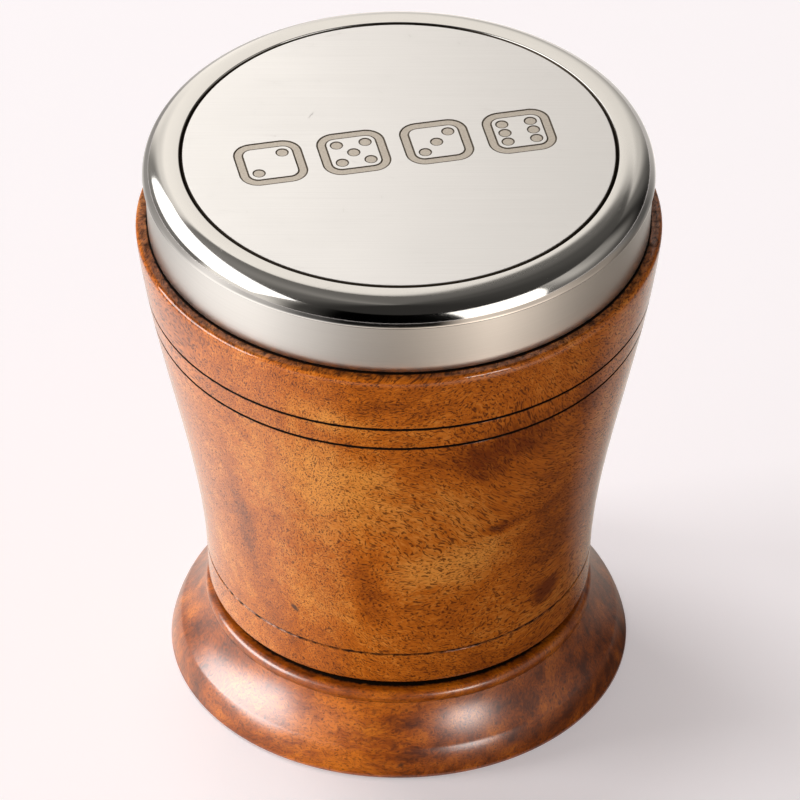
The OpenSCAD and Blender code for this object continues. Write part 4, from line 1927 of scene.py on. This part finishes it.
    def card(self) -> None:
        """Lays a shaded card that only polished faces mirror: dark in front, pale behind."""
        sides = range(self.card_sides)
        rim = [(self.card_radius * math.sin(a), self.card_radius * math.cos(a), self.card_height)
               for a in (math.tau * i / self.card_sides for i in sides)]
        mesh = bpy.data.meshes.new("mirror_card")
        mesh.from_pydata(rim, [], [tuple(reversed(sides))])
        material = bpy.data.materials.new("shaded_card")
        graph = Graph.blank(material)
        place = graph.get("ShaderNodeTexCoord", output="Object")
        x, y, _ = graph.add("ShaderNodeSeparateXYZ", {0: place}).outputs
        near, ring, far = (self.around(graph, x, y, stops)
                           for stops in (self.card_near, self.card_ring, self.card_far))
        reach = graph.vector("LENGTH", place)
        level = graph.blend(graph.span(reach, *self.card_ring_start), near, ring)
        level = graph.blend(graph.span(reach, *self.card_ring_end), level, far)
        left, right, behind = self.card_tints
        tint = graph.blend(graph.span(x, *self.card_across), left, right)
        tint = graph.blend(graph.span(y, *self.card_back), tint, behind)
        shade = graph.blend(1.0, level, tint, kind="MULTIPLY")
        glow = graph.get("ShaderNodeEmission", {"Color": shade, "Strength": 1.0})
        graph.add("ShaderNodeOutputMaterial", {"Surface": glow})
        mesh.materials.append(material)
        card = show("mirror_card", mesh)
        for ray in ("camera", "diffuse", "transmission", "volume_scatter", "shadow"):
            setattr(card, f"visible_{ray}", False)

    def surroundings(self) -> None:
        """Lights the world: a pale wall behind the object, dark overhead and in front."""
        world = bpy.data.worlds.new("surroundings")
        graph = Graph.blank(world)
        way = graph.get("ShaderNodeTexCoord", output="Generated")
        x, y, z = graph.add("ShaderNodeSeparateXYZ", {0: way}).outputs
        wall, foot, top, over = (self.around(graph, x, y, stops)
                                 for stops in (self.wall, self.wall_foot, self.wall_top, self.overhead))
        lowest = graph.blend(1.0, wall, foot, kind="MULTIPLY")
        wall = graph.blend(graph.span(z, *self.wall_foot_fade), wall, lowest)
        above = graph.span(graph.math("SUBTRACT", z, top), *self.wall_top_fade)
        tint = graph.blend(1.0, graph.blend(above, wall, over), self.wall_tint, kind="MULTIPLY")
        around = graph.get("ShaderNodeBackground", {"Color": tint, "Strength": 1.0})
        backdrop = graph.get("ShaderNodeBackground", {"Color": (*self.paper, 1.0), "Strength": 1.0})
        camera_ray = graph.get("ShaderNodeLightPath", output="Is Camera Ray")
        mixed = graph.get("ShaderNodeMixShader", {0: camera_ray, 1: around, 2: backdrop})
        graph.add("ShaderNodeOutputWorld", {"Surface": mixed})
        bpy.context.scene.world = world

    @staticmethod
    def lamps() -> tuple[Softbox, ...]:
        """Lists the softboxes: bright ones for the wood, dim panels for the metal, far ones for the floor.

        Returns:
            The lamps.
        """
        middle, low, lid = (0.0, 0.0, 0.06), (0.0, 0.02, 0.1), (0.0, 0.0, 0.1)
        left, warm = (-0.55, 0.08, 0.46), (1.0, 0.98, 0.96)
        return (
            Softbox("left_softbox", (-0.57, -0.05, 0.25), low, 0.56, 0.32, 7.6),
            Softbox("front_right_softbox", (0.37, -0.53, 0.29), middle, 0.2, 0.2, 9.2, (1.0, 0.985, 0.96)),
            Softbox("front_left_fill", (-0.75, -0.9, 0.6), middle, 0.6, 0.6, 5.0, mirrored=False),
            Softbox("left_panel", left, low, 1.0, 0.47, 1.25, lights=Lit.RIM),
            Softbox("left_disc_panel", left, low, 1.0, 0.47, 0.85, lights=Lit.DISC),
            Softbox("front_right_panel", (0.39, -0.42, 0.28), middle, 0.4, 0.46, 1.25, (1.0, 0.98, 0.95),
                    lights=Lit.METAL),
            Softbox("back_panel", (-0.12, 0.26, 0.33), lid, 0.26, 0.2, 0.42, warm, lights=Lit.DISC),
            Softbox("front_panel", (0.0, -0.5, 0.42), lid, 0.5, 0.3, 0.6, warm, lights=Lit.DISC),
            Softbox("top_panel", (0.0, 0.1, 0.9), lid, 0.5, 0.5, 0.5, warm, lights=Lit.DISC),
            Softbox("floor_left_key", (-3.76, 0.0, 1.37), middle, 1.4, 0.85, 16.0, lights=Lit.FLOOR,
                    mirrored=False),
            Softbox("floor_back_key", (-1.74, 1.74, 3.15), middle, 1.4, 0.85, 9.9, lights=Lit.FLOOR,
                    mirrored=False),
            Softbox("floor_top_fill", (-0.6, 0.75, 3.86), middle, 1.2, 1.0, 5.3, lights=Lit.FLOOR,
                    mirrored=False))

    def hang(self, metals: Sequence[bpy.types.Object], disc: bpy.types.Object) -> None:
        """Hangs the lamps, each over what it lights.

        Args:
            metals: The metal pieces.
            disc: The disc among them.
        """
        shown = [o for o in bpy.context.scene.objects if o.type == "MESH"]
        stage = [o for o in shown if o.name in ("floor", "mirror_card")]
        lit = {Lit.FLOOR: stage, Lit.METAL: metals, Lit.DISC: [disc],
               Lit.RIM: [o for o in metals if o is not disc],
               Lit.THE_REST: [o for o in shown if o not in stage and o not in metals]}
        groups: dict[Lit, bpy.types.Collection] = {}
        for kind, pieces in lit.items():
            groups[kind] = bpy.data.collections.new(kind.value)
            for piece in pieces:
                groups[kind].objects.link(piece)
        lamps = self.lamps()
        for lamp in lamps:
            lamp.build().light_linking.receiver_collection = groups[lamp.lights]
        log.info("%d lamps", len(lamps))

    def build(self) -> None:
        """Sets up the camera, the floor and the surroundings."""
        bpy.context.scene.view_settings.view_transform = "Standard"
        self.camera()
        self.floor()
        self.card()
        self.surroundings()
        log.info("studio: camera, floor, card and surroundings")


def main() -> None:
    """Builds the studio and the box, piece by piece."""
    logging.basicConfig(level=logging.INFO, format="%(message)s")
    studio = Studio()
    studio.build()
    groups = ShaderGroups()
    cup_wood, foot_wood = CUP_WOOD.make(groups), FOOT_WOOD.make(groups)
    felt, baize = FELT.make(groups), BAIZE.make(groups)
    turner = TurnedTree()
    Foot().build(turner, foot_wood, baize)
    Cup().build(turner, cup_wood, felt)
    metals = Metals(*(finish.make(groups) for finish in (SATIN, POLISHED, BRUSHED, ETCHED, ETCHED_WALL_OXIDE_AND_SHADE)))
    metal_pieces = Lid().build(turner, EngravingTree(), metals, felt)
    DieSet().build(DieTree(), BONE.make(groups), INK.make(groups))
    studio.hang(metal_pieces, metal_pieces[-1])


if __name__ == "__main__":
    main()
